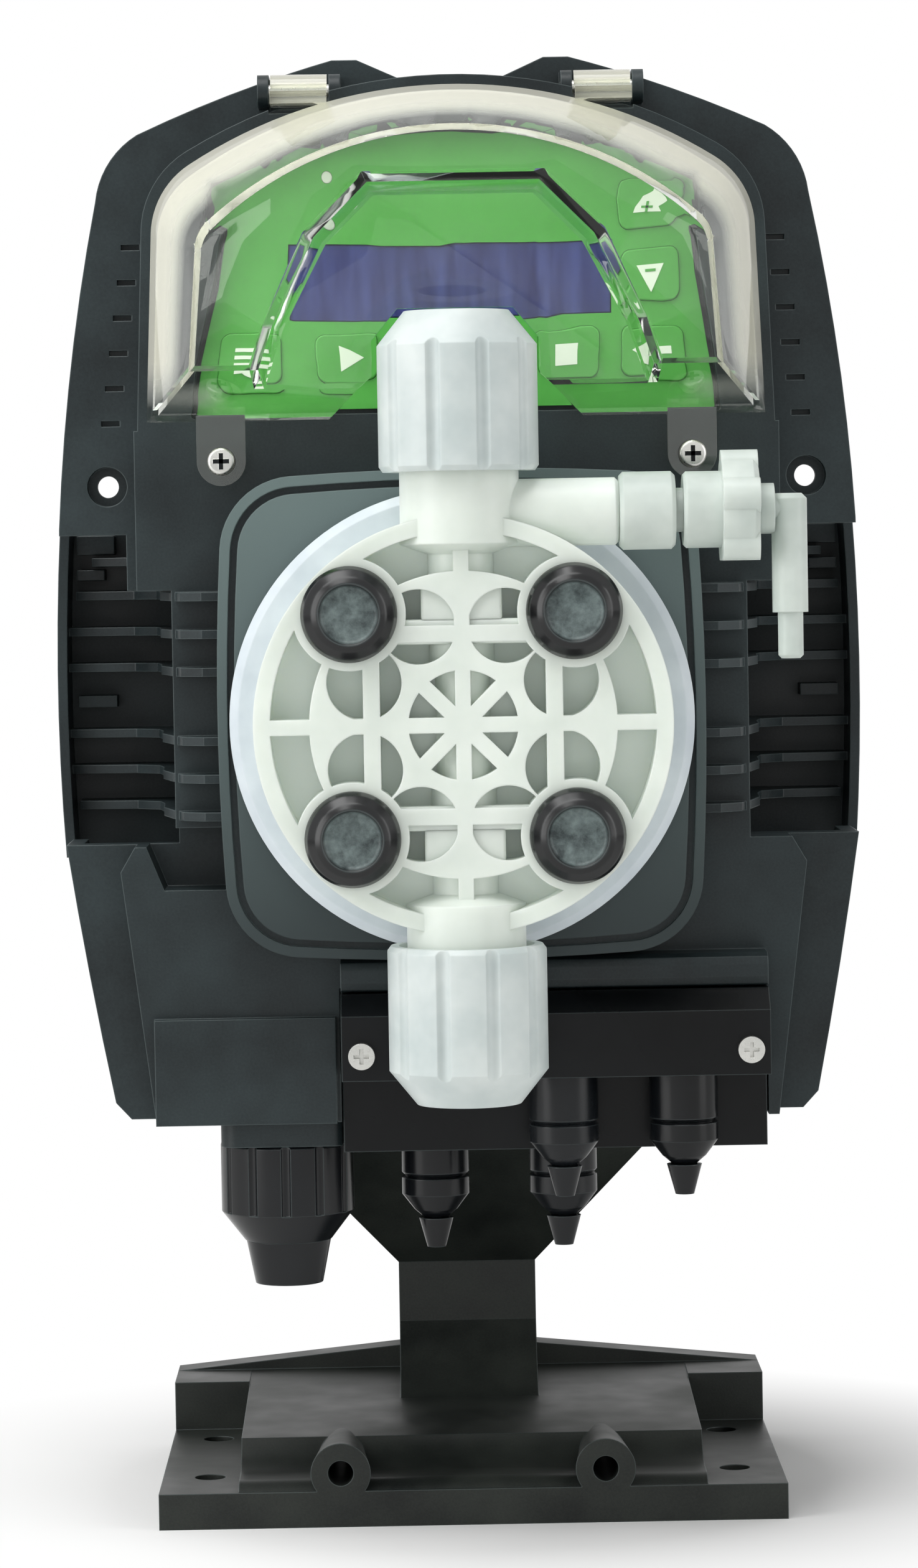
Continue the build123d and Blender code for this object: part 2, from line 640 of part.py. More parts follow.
BODY_LONG = SEAM_DEPTH - BODY_BACK
SCREW_POST_R = 3.6
CASE_SCREW_X = 37.0
CASE_SCREW_HEIGHTS = (-55.0, 80.0)
SADDLE_SCREW_POSTS = 7.0

with BuildPart() as rear_housing:
    extrude(body_face(front_plane(SEAM_DEPTH)), amount=-BODY_LONG, taper=BODY_DRAFT)
    bow_reach = max(FIN_HEIGHTS) - FIN_BOW_MID
    fins = [(h, FIN_REACH - FIN_BOW * ((h - FIN_BOW_MID) / bow_reach) ** 2) for h in FIN_HEIGHTS]
    with BuildPart(mode=Mode.PRIVATE) as right_band:
        for height, reach in fins + [SHORT_FIN]:
            extrude(outline(level_plane(height), rear_fin(reach)), amount=FIN_THICK / 2, both=True)
        extrude(band_web(front_plane(FIN_WEB_DEPTH), BODY_HALF - 2), amount=-FIN_WEB_THICK)
        rail = band_web(front_plane(FIN_WEB_DEPTH - 1), BODY_HALF - 2) - band_web(
            front_plane(FIN_WEB_DEPTH - 1), BODY_HALF - 2, FIN_RAIL_THICK
        )
        extrude(rail, amount=FIN_RAIL_DEPTH - FIN_WEB_DEPTH + 1)
        for inner, outer, low, high in BAND_BLOCKS:
            with BuildSketch(front_plane(FIN_WEB_DEPTH - 1)):
                with Locations(((inner + outer) / 2, (low + high) / 2)):
                    Rectangle(outer - inner, high - low)
            extrude(amount=BAND_BLOCK_HIGH + 1)
    add(right_band.part)
    add(mirror(right_band.part, about=Plane.YZ))
    extrude(
        body_face(front_plane(SEAM_DEPTH), WALL),
        amount=-(BODY_LONG - WALL), taper=BODY_DRAFT, mode=Mode.SUBTRACT,
    )
    # screw posts from the rear wall, drilled for the case screws
    with BuildSketch(front_plane(BODY_BACK + WALL)):
        with Locations(*[(side * CASE_SCREW_X, h) for side in (-1, 1) for h in CASE_SCREW_HEIGHTS]):
            Circle(SCREW_POST_R)
    extrude(amount=BODY_LONG - WALL)
    with BuildSketch(front_plane(BODY_BACK)):
        with Locations(*[(side * CASE_SCREW_X, h) for side in (-1, 1) for h in CASE_SCREW_HEIGHTS]):
            Circle(SCREW_R + 0.2)
    extrude(amount=BODY_LONG, mode=Mode.SUBTRACT)
    with BuildSketch(front_plane(BODY_BACK)):
        with Locations(*[(side * CASE_SCREW_X, h) for side in (-1, 1) for h in CASE_SCREW_HEIGHTS]):
            Circle(SCREW_HEAD_R + 0.2)
    extrude(amount=4, mode=Mode.SUBTRACT)
    # bosses in the floor for the two bracket screws
    with BuildSketch(Plane.XY.offset(HEAD_Z + SADDLE_TOP + WALL - 0.5)):
        with Locations(*[(side * SADDLE_SCREW_X / 2, BACK_Y - SADDLE_LONG / 2) for side in (-1, 1)]):
            Circle(SADDLE_SCREW_R + 2.4)
    extrude(amount=SADDLE_SCREW_POSTS)
    with BuildSketch(Plane.XY.offset(HEAD_Z + SADDLE_TOP)):
        with Locations(*[(side * SADDLE_SCREW_X / 2, BACK_Y - SADDLE_LONG / 2) for side in (-1, 1)]):
            Circle(SADDLE_SCREW_R + RUN_GAP)
    extrude(amount=SADDLE_SCREW_POSTS, mode=Mode.SUBTRACT)
finish(rear_housing.part, "rear_housing")

# ---------------------------------------------------------------- foot bracket
SADDLE_Z = HEAD_Z + SADDLE_TOP
NECK_Z = HEAD_Z + COLUMN_NECK
COLUMN_Y = BACK_Y - COLUMN_LONG / 2
FOOT_FRONT_Y = -FOOT_LONG / 2
CREST = (18.0, 12.0)        # distance behind the foot's front edge, height
ROLL_TOP = (5.0, 7.4)
TOE_RUN = 24.0              # where the column's toe meets the raised middle
TOE_TOP = 25.0
BLOCK_RUN = 61.0            # front of the raised rear corners

with BuildPart() as foot_bracket:
    with BuildSketch(Plane.XY):
        Rectangle(FOOT_WIDE, FOOT_LONG)
    extrude(amount=FOOT_THICK)
    # raised middle: rolled front edge, hollow curve up to a crest, sloping top
    with BuildSketch(Plane.YZ.offset(-FOOT_MID / 2)):
        with BuildLine():
            roll = ThreePointArc(
                (FOOT_FRONT_Y, ROLL_TOP[1] - 3.2), (FOOT_FRONT_Y + 1.5, ROLL_TOP[1] - 0.9),
                (FOOT_FRONT_Y + ROLL_TOP[0], ROLL_TOP[1]),
            )
            flat = Line(roll @ 1, (FOOT_FRONT_Y + CREST[0] - 8, ROLL_TOP[1]))
            sweep_up = ThreePointArc(
                flat @ 1, (FOOT_FRONT_Y + CREST[0] - 2.6, CREST[1] - 3), (FOOT_FRONT_Y + CREST[0], CREST[1])
            )
            Polyline(
                sweep_up @ 1, (BACK_Y - FOOT_WALL, FOOT_BACK_HIGH), (BACK_Y - FOOT_WALL, 0),
                (FOOT_FRONT_Y, 0), roll @ 0,
            )
        make_face()
    extrude(amount=FOOT_MID)
    # raised corners behind the bolt pads
    corner_long = FOOT_LONG - BLOCK_RUN
    with BuildSketch(Plane.XY):
        with Locations((0, BACK_Y - corner_long / 2)):
            with GridLocations((FOOT_WIDE + FOOT_MID) / 2, 0, 2, 1):
                Rectangle((FOOT_WIDE - FOOT_MID) / 2, corner_long)
    extrude(amount=FOOT_BACK_HIGH)
    # gabled wall along the rear edge
    with BuildSketch(Plane(origin=(0, BACK_Y - FOOT_WALL, 0), x_dir=(1, 0, 0), z_dir=(0, -1, 0))):
        with BuildLine():
            Polyline(
                (-FOOT_WIDE / 2, 0), (FOOT_WIDE / 2, 0), (FOOT_WIDE / 2, FOOT_BACK_HIGH),
                (COLUMN_WIDE / 2, FOOT_GABLE_HIGH), (-COLUMN_WIDE / 2, FOOT_GABLE_HIGH),
                (-FOOT_WIDE / 2, FOOT_BACK_HIGH), close=True,
            )
        make_face()
    extrude(amount=-FOOT_WALL)
    # column, flaring into the saddle under the casing
    with BuildSketch(Plane.XY.offset(FOOT_THICK - 2)):
        with Locations((0, COLUMN_Y)):
            Rectangle(COLUMN_WIDE, COLUMN_LONG)
    extrude(amount=NECK_Z - FOOT_THICK + 2)
    with BuildSketch(Plane.XY.offset(NECK_Z)) as neck:
        with Locations((0, COLUMN_Y)):
            Rectangle(COLUMN_WIDE, COLUMN_LONG)
    with BuildSketch(Plane.XY.offset(SADDLE_Z - SADDLE_THICK)) as mouth:
        with Locations((0, BACK_Y - SADDLE_LONG / 2)):
            Rectangle(SADDLE_WIDE, SADDLE_LONG)
    loft(sections=[neck.sketch, mouth.sketch])
    with BuildSketch(Plane.XY.offset(SADDLE_Z - SADDLE_THICK)):
        with Locations((0, BACK_Y - SADDLE_LONG / 2)):
            Rectangle(SADDLE_WIDE, SADDLE_LONG)
    extrude(amount=SADDLE_THICK)
    # toe where the column sweeps forward into the foot
    with BuildSketch(Plane.YZ.offset(-COLUMN_WIDE / 2)):
        with BuildLine():
            column_front = BACK_Y - COLUMN_LONG
            toe_front = FOOT_FRONT_Y + TOE_RUN
            toe = ThreePointArc(
                (toe_front, CREST[1]), (column_front - 9, CREST[1] + 3.4), (column_front, TOE_TOP)
            )
            Polyline(
                toe @ 1, (column_front + 1, TOE_TOP), (column_front + 1, CREST[1] - 2),
                (toe_front, CREST[1] - 2), toe @ 0,
            )
        make_face()
    extrude(amount=COLUMN_WIDE)
    # ---- cuts: open back of column and funnel
    with BuildSketch(Plane.XY.offset(FOOT_THICK + 6)):
        with Locations((0, COLUMN_Y + COLUMN_WALL / 2 + 0.5)):
            Rectangle(COLUMN_WIDE - 2 * COLUMN_WALL, COLUMN_LONG - COLUMN_WALL + 1)
    extrude(amount=NECK_Z - FOOT_THICK - 6, mode=Mode.SUBTRACT)
    with BuildSketch(Plane.XY.offset(NECK_Z)) as neck_inside:
        with Locations((0, COLUMN_Y + COLUMN_WALL / 2 + 0.5)):
            Rectangle(COLUMN_WIDE - 2 * COLUMN_WALL, COLUMN_LONG - COLUMN_WALL + 1)
    with BuildSketch(Plane.XY.offset(SADDLE_Z - SADDLE_THICK)) as mouth_inside:
        with Locations((0, BACK_Y - SADDLE_LONG / 2 + COLUMN_WALL / 2 + 0.5)):
            Rectangle(SADDLE_WIDE - 2 * COLUMN_WALL, SADDLE_LONG - COLUMN_WALL + 1)
    loft(sections=[neck_inside.sketch, mouth_inside.sketch], mode=Mode.SUBTRACT)
    # two hollows underneath, either side of a middle rib
    with BuildSketch(Plane.XY):
        with GridLocations((FOOT_MID - 8 + FOOT_RIB) / 2, 0, 2, 1):
            RectangleRounded((FOOT_MID - 8 - FOOT_RIB) / 2, FOOT_LONG - 24, 3)
    extrude(amount=FOOT_HOLLOW, mode=Mode.SUBTRACT)
    # bosses for horizontal wall screws
    with BuildSketch(Plane(origin=(0, FOOT_FRONT_Y, 0), x_dir=(1, 0, 0), z_dir=(0, -1, 0))):
        with Locations((-BOSS_X / 2, BOSS_HIGH), (BOSS_X / 2, BOSS_HIGH)):
            Circle(BOSS_R)
    extrude(amount=-BOSS_LONG, taper=BOSS_DRAFT)
    with BuildSketch(Plane(origin=(0, FOOT_FRONT_Y, 0), x_dir=(1, 0, 0), z_dir=(0, -1, 0))):
        with Locations((-BOSS_X / 2, BOSS_HIGH), (BOSS_X / 2, BOSS_HIGH)):
            Circle(BOSS_HOLE_R)
    extrude(amount=-FOOT_LONG, mode=Mode.SUBTRACT)
    # bolt holes in the pads, screw holes in the saddle
    with BuildSketch(Plane.XY):
        with Locations((0, FOOT_FRONT_Y + FOOT_BOLT_FRONT + FOOT_BOLT_Y / 2)):
            with GridLocations(FOOT_BOLT_X, FOOT_BOLT_Y, 2, 2):
                Circle(FOOT_HOLE_R)
    extrude(amount=FOOT_THICK, mode=Mode.SUBTRACT)
    with BuildSketch(Plane.XY.offset(SADDLE_Z - 25)):
        with Locations(*[(side * SADDLE_SCREW_X / 2, BACK_Y - SADDLE_LONG / 2) for side in (-1, 1)]):
            Circle(SADDLE_SCREW_R + 0.2)
    extrude(amount=25, mode=Mode.SUBTRACT)
    with BuildSketch(Plane.XY.offset(SADDLE_Z - 25)):
        with Locations(*[(side * SADDLE_SCREW_X / 2, BACK_Y - SADDLE_LONG / 2) for side in (-1, 1)]):
            Circle(SADDLE_SCREW_R + 2.2)
    extrude(amount=25 - SADDLE_THICK, mode=Mode.SUBTRACT)
finish(foot_bracket.part, "foot_bracket")

with BuildPart() as bracket_screws:
    with BuildSketch(Plane.XY.offset(SADDLE_Z - SADDLE_THICK)) as heads:
        with Locations(*[(side * SADDLE_SCREW_X / 2, BACK_Y - SADDLE_LONG / 2) for side in (-1, 1)]):
            Circle(SADDLE_SCREW_R + 1.8)
    extrude(amount=-2.6)
    with BuildSketch(Plane.XY.offset(SADDLE_Z - SADDLE_THICK - 2.6)):
        with Locations(*[(side * SADDLE_SCREW_X / 2, BACK_Y - SADDLE_LONG / 2) for side in (-1, 1)]):
            RegularPolygon(1.6, 6)
    extrude(amount=1.6, mode=Mode.SUBTRACT)
    with BuildSketch(Plane.XY.offset(SADDLE_Z - SADDLE_THICK)):
        with Locations(*[(side * SADDLE_SCREW_X / 2, BACK_Y - SADDLE_LONG / 2) for side in (-1, 1)]):
            Circle(SADDLE_SCREW_R)
    extrude(amount=SADDLE_THICK + SADDLE_SCREW_POSTS - 1)
finish(bracket_screws.part, "bracket_screws")

with BuildPart() as case_screws:
    case_spots = [(side * CASE_SCREW_X, h) for side in (-1, 1) for h in CASE_SCREW_HEIGHTS]
    with BuildSketch(front_plane(BODY_BACK + 4)):
        with Locations(*case_spots):
            Circle(SCREW_HEAD_R)
    extrude(amount=-2.4)
    with BuildSketch(front_plane(BODY_BACK + 4)):
        with Locations(*case_spots):
            Circle(SCREW_R)
    extrude(amount=BODY_LONG - 4)
    with BuildSketch(front_plane(BODY_BACK + 1.6)):
        with Locations(*case_spots):
            Rectangle(3.4, 0.7)
            Rectangle(0.7, 3.4)
    extrude(amount=1.4, mode=Mode.SUBTRACT)
finish(case_screws.part, "case_screws")

# ---------------------------------------------------------------- dosing head
BOLT_SPOTS = [(sx * BOLT_PITCH / 2, sz * BOLT_PITCH / 2) for sx in (-1, 1) for sz in (-1, 1)]
STUB_TOP = DISCHARGE_NUT + STUB_LENGTH
STUB_LOW = SUCTION_NUT + STUB_LENGTH


def pocket_face(plane):
    """All openings of the ribbed front: crescents, round windows and the star."""
    crescents_out = HEAD_R - RIM_WALL
    with BuildSketch(plane) as sketch:
        Circle(crescents_out)
        Circle(MID_RING_OUT, mode=Mode.SUBTRACT)
        with GridLocations(BOLT_PITCH, BOLT_PITCH, 2, 2):
            Circle(BOLT_BOSS_R, mode=Mode.SUBTRACT)
        with PolarLocations(0, 4):
            Rectangle(2 * HEAD_R, RIB, mode=Mode.SUBTRACT)
        window_arm = (CROSS_RIB_OUT + CROSS_RIB_IN) / 2 + 1.1
        for turn in range(4):
            with Locations(Location((0, 0, 0), (0, 0, 90 * turn))):
                with Locations((window_arm, WINDOW_OFFSET + 1.6), (window_arm, -WINDOW_OFFSET - 1.6)):
                    Circle(WINDOW_R)
        with PolarLocations((CROSS_RIB_OUT + CROSS_RIB_IN) / 2, 4):
            Rectangle(CROSS_RIB_OUT - CROSS_RIB_IN, 2 * MID_RING_OUT, mode=Mode.SUBTRACT)
        with PolarLocations(0, 4):
            Rectangle(2 * HEAD_R, RIB, mode=Mode.SUBTRACT)
        Circle(STAR_R + RIB - 0.1, mode=Mode.SUBTRACT)
        Circle(STAR_R)
        with PolarLocations(0, 8):
            Rectangle(2 * STAR_R + 1, RIB, mode=Mode.SUBTRACT)
        with GridLocations(BOLT_PITCH, BOLT_PITCH, 2, 2):
            Circle(BOLT_BOSS_R, mode=Mode.SUBTRACT)
    return sketch.sketch


with BuildPart() as pump_head:
    with BuildSketch(front_plane(HEAD_BACK)):
        Circle(HEAD_R)
    extrude(amount=HEAD_FRONT - HEAD_BACK)
    extrude(pocket_face(front_plane(HEAD_FRONT)), amount=-POCKET_DEPTH, mode=Mode.SUBTRACT)
    # upright port web, necks and threaded stubs
    neck_profile = [
        (0, 0), (PORT_WEB_R, 0), (PORT_WEB_R, HEAD_R - 6), (NECK_R, HEAD_R - 4.5),
        (NECK_R, DISCHARGE_NUT + 0.4), (STUB_R, DISCHARGE_NUT + 1.2), (STUB_R, STUB_TOP), (0, STUB_TOP),
    ]
    revolve(outline(port_plane(), neck_profile), axis=PORT_AXIS)
    low_profile = [
        (0, 0), (PORT_WEB_R, 0), (PORT_WEB_R, 6 - HEAD_R), (NECK_R, 4.5 - HEAD_R),
        (NECK_R, -SUCTION_NUT - 0.4), (STUB_R, -SUCTION_NUT - 1.2), (STUB_R, -STUB_LOW), (0, -STUB_LOW),
    ]
    revolve(outline(port_plane(), low_profile), axis=PORT_AXIS)
    # bleed stub
    stub_profile = [
        (4, 0), (BLEED_STUB_END, 0), (BLEED_STUB_END, BLEED_STUB_R - 0.6),
        (BLEED_STUB_END - 0.6, BLEED_STUB_R), (4, BLEED_STUB_R),
    ]
    revolve(outline(port_plane(height=BLEED_HEIGHT), stub_profile), axis=BLEED_AXIS)
    # ---- cuts: chamber, ports, cartridge seats, bolt holes
    with BuildSketch(front_plane(HEAD_BACK)):
        Circle(CHAMBER_R)
    extrude(amount=CHAMBER_DEPTH, taper=30, mode=Mode.SUBTRACT)
    for sign, stub_end in ((1, STUB_TOP), (-1, STUB_LOW)):
        channel = [
            (0, sign * 7), (PORT_BORE_R, sign * 7), (PORT_BORE_R, sign * (stub_end - CARTRIDGE_LENGTH)),
            (CARTRIDGE_R + RUN_GAP, sign * (stub_end - CARTRIDGE_LENGTH)),
            (CARTRIDGE_R + RUN_GAP, sign * stub_end), (0, sign * stub_end),
        ]
        revolve(outline(port_plane(), channel), axis=PORT_AXIS, mode=Mode.SUBTRACT)
    with BuildSketch(front_plane(HEAD_BACK)):
        with Locations((0, 9), (0, -9)):
            Circle(PORT_BORE_R)
    extrude(amount=PORT_DEPTH - HEAD_BACK, mode=Mode.SUBTRACT)
    bleed_bore = [
        (0, 0), (BLEED_STUB_END, 0), (BLEED_STUB_END, 3.2 + RUN_GAP), (BLEED_STUB_END - 6.5, 3.2 + RUN_GAP),
        (BLEED_STUB_END - 6.5, 1.6), (0, 1.6),
    ]
    revolve(outline(port_plane(height=BLEED_HEIGHT), bleed_bore), axis=BLEED_AXIS, mode=Mode.SUBTRACT)
    with BuildSketch(front_plane(HEAD_BACK)):
        with Locations(*BOLT_SPOTS):
            Circle(BOLT_R + 0.25)
    extrude(amount=HEAD_FRONT - HEAD_BACK, mode=Mode.SUBTRACT)
    with BuildSketch(front_plane(HEAD_FRONT)):
        with Locations(*BOLT_SPOTS):
            Circle(BOLT_COUNTERBORE_R)
    extrude(amount=-BOLT_COUNTERBORE_DEPTH, mode=Mode.SUBTRACT)
finish(pump_head.part, "pump_head")

# Head screws run through head, flange and pad into the yoke's front plate
SCREW_SEAT = HEAD_FRONT - BOLT_COUNTERBORE_DEPTH
YOKE_FRONT = PAD_DEPTH - PAD_WALL

with BuildPart() as head_screws:
    with BuildSketch(front_plane(SCREW_SEAT)):
        with Locations(*BOLT_SPOTS):
            Circle(BOLT_COUNTERBORE_R - 0.4)
    extrude(amount=3.6)
    with BuildSketch(front_plane(SCREW_SEAT + 3.6)):
        with Locations(*BOLT_SPOTS):
            RegularPolygon(2.2, 6)
    extrude(amount=-2.4, mode=Mode.SUBTRACT)
    with BuildSketch(front_plane(SCREW_SEAT)):
        with Locations(*BOLT_SPOTS):
            Circle(BOLT_R)
    extrude(amount=YOKE_FRONT - YOKE_PLATE - SCREW_SEAT)
finish(head_screws.part, "head_screws")

cap_profile = [
    (0, HEAD_FRONT), (BOLT_COUNTERBORE_R, HEAD_FRONT), (CAP_R, HEAD_FRONT),
    (CAP_R, HEAD_FRONT + 1.4), (CAP_R - 0.5, HEAD_FRONT + 2.9), (CAP_R - 1.7, HEAD_FRONT + 4.1),
    (CAP_R - 2.7, HEAD_FRONT + CAP_HIGH), (CAP_R - 3.3, HEAD_FRONT + 3.7), (0, HEAD_FRONT + 3.5),
]
cap_plug = [
    (BOLT_COUNTERBORE_R - 1.2, HEAD_FRONT), (BOLT_COUNTERBORE_R - 0.1, HEAD_FRONT),
    (BOLT_COUNTERBORE_R - 0.1, HEAD_FRONT - 2.0), (BOLT_COUNTERBORE_R - 1.2, HEAD_FRONT - 2.0),
]
with BuildPart() as one_cap:
    revolve(outline(level_plane(0), cap_profile), axis=DRIVE_AXIS)
    revolve(outline(level_plane(0), cap_plug), axis=DRIVE_AXIS)
with BuildPart() as head_screw_caps:
    with Locations(*[(x, 0, z) for x, z in BOLT_SPOTS]):
        add(one_cap.part)
finish(head_screw_caps.part, "head_screw_caps")

RECESS = HEAD_BACK - DIAPHRAGM_RIM
with BuildPart() as head_flange:
    flange_profile = [
        (HUB_R + 0.6, PAD_DEPTH), (FLANGE_R - 1.0, PAD_DEPTH), (FLANGE_R, PAD_DEPTH + 1.0),
        (FLANGE_R, HEAD_BACK - 1.4), (FLANGE_R - 1.4, HEAD_BACK), (DIAPHRAGM_R + RUN_GAP, HEAD_BACK),
        (DIAPHRAGM_R + RUN_GAP, RECESS), (CHAMBER_R, RECESS), (HUB_R + 3.5, RECESS - 2.5),
        (HUB_R + 0.6, RECESS - 2.5),
    ]
    revolve(outline(level_plane(0), flange_profile), axis=DRIVE_AXIS)
    with BuildSketch(front_plane(PAD_DEPTH)):
        with Locations(*BOLT_SPOTS):
            Circle(BOLT_R + 0.25)
    extrude(amount=HEAD_BACK - PAD_DEPTH, mode=Mode.SUBTRACT)
    # leakage drain at the bottom
    with BuildSketch(Plane.XY.offset(HEAD_Z - FLANGE_R - 1)):
        with Locations((0, DATUM_Y - PAD_DEPTH - 2.2)):
            Circle(DRAIN_R)
    extrude(amount=FLANGE_R - HUB_R, mode=Mode.SUBTRACT)
finish(head_flange.part, "head_flange")

# ---------------------------------------------------------------- diaphragm and drive
HUB_FRONT = HEAD_BACK
HUB_BACK = HUB_FRONT - HUB_LENGTH
with BuildPart() as diaphragm:
    web_mid = HEAD_BACK - DIAPHRAGM_RIM / 2
    diaphragm_profile = [
        (0, HUB_FRONT), (HUB_R - 1, HUB_FRONT), (HUB_R, HUB_FRONT - 1),
        (HUB_R + 2, web_mid - 0.4), (CHAMBER_R - 2, web_mid + DIAPHRAGM_WEB / 2),
        (CHAMBER_R, HEAD_BACK), (DIAPHRAGM_R, HEAD_BACK), (DIAPHRAGM_R, RECESS), (CHAMBER_R, RECESS),
        (CHAMBER_R - 2, web_mid - DIAPHRAGM_WEB / 2), (HUB_R + 2, web_mid - 0.4 - DIAPHRAGM_WEB),
        (HUB_R, HUB_FRONT - 3.2), (HUB_R, HUB_BACK), (ROD_R + RUN_GAP, HUB_BACK),
        (ROD_R + RUN_GAP, HUB_FRONT - 1.2 - INSERT_THICK), (INSERT_R + RUN_GAP, HUB_FRONT - 1.2 - INSERT_THICK),
        (INSERT_R + RUN_GAP, HUB_FRONT - 1.2), (0, HUB_FRONT - 1.2),
    ]
    revolve(outline(level_plane(0), diaphragm_profile), axis=DRIVE_AXIS)
finish(diaphragm.part, "diaphragm")

with BuildPart() as push_rod:
    rod_back = PLUNGER_FRONT - 6
    rod_profile = [
        (0, HUB_FRONT - 1.2), (INSERT_R, HUB_FRONT - 1.2), (INSERT_R, HUB_FRONT - 1.2 - INSERT_THICK),
        (ROD_R, HUB_FRONT - 1.2 - INSERT_THICK), (ROD_R, rod_back), (0, rod_back),
    ]
    revolve(outline(level_plane(0), rod_profile), axis=DRIVE_AXIS)
finish(push_rod.part, "push_rod")

PLUNGER_BACK = PLUNGER_FRONT - PLUNGER_LENGTH
with BuildPart() as plunger:
    plunger_profile = [
        (ROD_R, PLUNGER_FRONT), (PLUNGER_R - 0.8, PLUNGER_FRONT), (PLUNGER_R, PLUNGER_FRONT - 0.8),
        (PLUNGER_R, PLUNGER_BACK + 0.8), (PLUNGER_R - 0.8, PLUNGER_BACK), (0, PLUNGER_BACK),
        (0, rod_back), (ROD_R, rod_back),
    ]
    revolve(outline(level_plane(0), plunger_profile), axis=DRIVE_AXIS)
finish(plunger.part, "plunger")

TUBE_OUT = PLUNGER_R + RUN_GAP + TUBE_WALL
TUBE_BACK = PLUNGER_BACK - 0.1 - BUFFER_THICK
with BuildPart() as guide_tube:
    tube_profile = [
        (PLUNGER_R + RUN_GAP, YOKE_FRONT - YOKE_PLATE), (TUBE_OUT, YOKE_FRONT - YOKE_PLATE),
        (TUBE_OUT, TUBE_BACK - 1.5), (0, TUBE_BACK - 1.5), (0, TUBE_BACK), (PLUNGER_R + RUN_GAP, TUBE_BACK),
    ]
    revolve(outline(level_plane(0), tube_profile), axis=DRIVE_AXIS)
finish(guide_tube.part, "guide_tube")

with BuildPart() as stroke_buffer:
    with BuildSketch(front_plane(TUBE_BACK)):
        Circle(PLUNGER_R - 0.2)
        Circle(3, mode=Mode.SUBTRACT)
    extrude(amount=BUFFER_THICK)
finish(stroke_buffer.part, "stroke_buffer")

POLE_BACK = PLUNGER_FRONT + STROKE + POLE_GAP
with BuildPart() as yoke_front:
    with BuildSketch(front_plane(YOKE_FRONT - YOKE_PLATE)):
        RectangleRounded(2 * YOKE_HALF, 2 * YOKE_HALF, 4)
    extrude(amount=YOKE_PLATE)
    pole_profile = [
        (0, YOKE_FRONT - YOKE_PLATE), (PLUNGER_R, YOKE_FRONT - YOKE_PLATE), (PLUNGER_R, POLE_BACK),
        (0, POLE_BACK),
    ]
    revolve(outline(level_plane(0), pole_profile), axis=DRIVE_AXIS)
    bore_profile = [
        (0, YOKE_FRONT), (ROD_R + RUN_GAP, YOKE_FRONT), (ROD_R + RUN_GAP, SPRING_POCKET_FRONT),
        (SPRING_POCKET_R, SPRING_POCKET_FRONT), (SPRING_POCKET_R, POLE_BACK), (0, POLE_BACK),
    ]
    revolve(outline(level_plane(0), bore_profile), axis=DRIVE_AXIS, mode=Mode.SUBTRACT)
    with BuildSketch(front_plane(YOKE_FRONT - YOKE_PLATE)):
        with Locations(*BOLT_SPOTS):
            Circle(BOLT_R + RUN_GAP)
    extrude(amount=YOKE_PLATE, mode=Mode.SUBTRACT)
finish(yoke_front.part, "yoke_front_plate")

with BuildPart() as yoke_frame:
    with BuildSketch(front_plane(COIL_BACK - YOKE_SIDE)):
        RectangleRounded(2 * YOKE_HALF - 8, 2 * YOKE_HALF, 3)
        Circle(TUBE_OUT + RUN_GAP, mode=Mode.SUBTRACT)
    extrude(amount=YOKE_SIDE)
    with BuildSketch(front_plane(COIL_BACK)):
        with Locations((0, YOKE_HALF - YOKE_SIDE / 2), (0, -YOKE_HALF + YOKE_SIDE / 2)):
            Rectangle(30, YOKE_SIDE)
    extrude(amount=COIL_FRONT - COIL_BACK)
finish(yoke_frame.part, "yoke_frame")

with BuildPart() as solenoid_coil:
    coil_profile = [
        (TUBE_OUT + RUN_GAP, COIL_FRONT), (COIL_R, COIL_FRONT), (COIL_R, COIL_FRONT - 1.6),
        (COIL_R - 1.2, COIL_FRONT - 1.6), (COIL_R - 1.2, COIL_BACK + 1.6), (COIL_R, COIL_BACK + 1.6),
        (COIL_R, COIL_BACK), (TUBE_OUT + RUN_GAP, COIL_BACK),
    ]
    revolve(outline(level_plane(0), coil_profile), axis=DRIVE_AXIS)
finish(solenoid_coil.part, "solenoid_coil")

SPRING_LONG = SPRING_POCKET_FRONT - PLUNGER_FRONT
with BuildPart() as return_spring:
    spring_run = SPRING_LONG - 2 * SPRING_WIRE_R - 0.1
    spring_base = (0, DATUM_Y - PLUNGER_FRONT - SPRING_WIRE_R - 0.05, HEAD_Z)
    with BuildLine() as coil_line:
        Helix(
            pitch=spring_run / SPRING_TURNS, height=spring_run, radius=SPRING_R,
            center=spring_base, direction=(0, -1, 0),
        )
    with BuildSketch(Plane(origin=coil_line.line @ 0, z_dir=coil_line.line % 0)) as wire:
        Circle(SPRING_WIRE_R)
    sweep(wire.sketch, path=coil_line.line, is_frenet=True)
finish(return_spring.part, "return_spring")

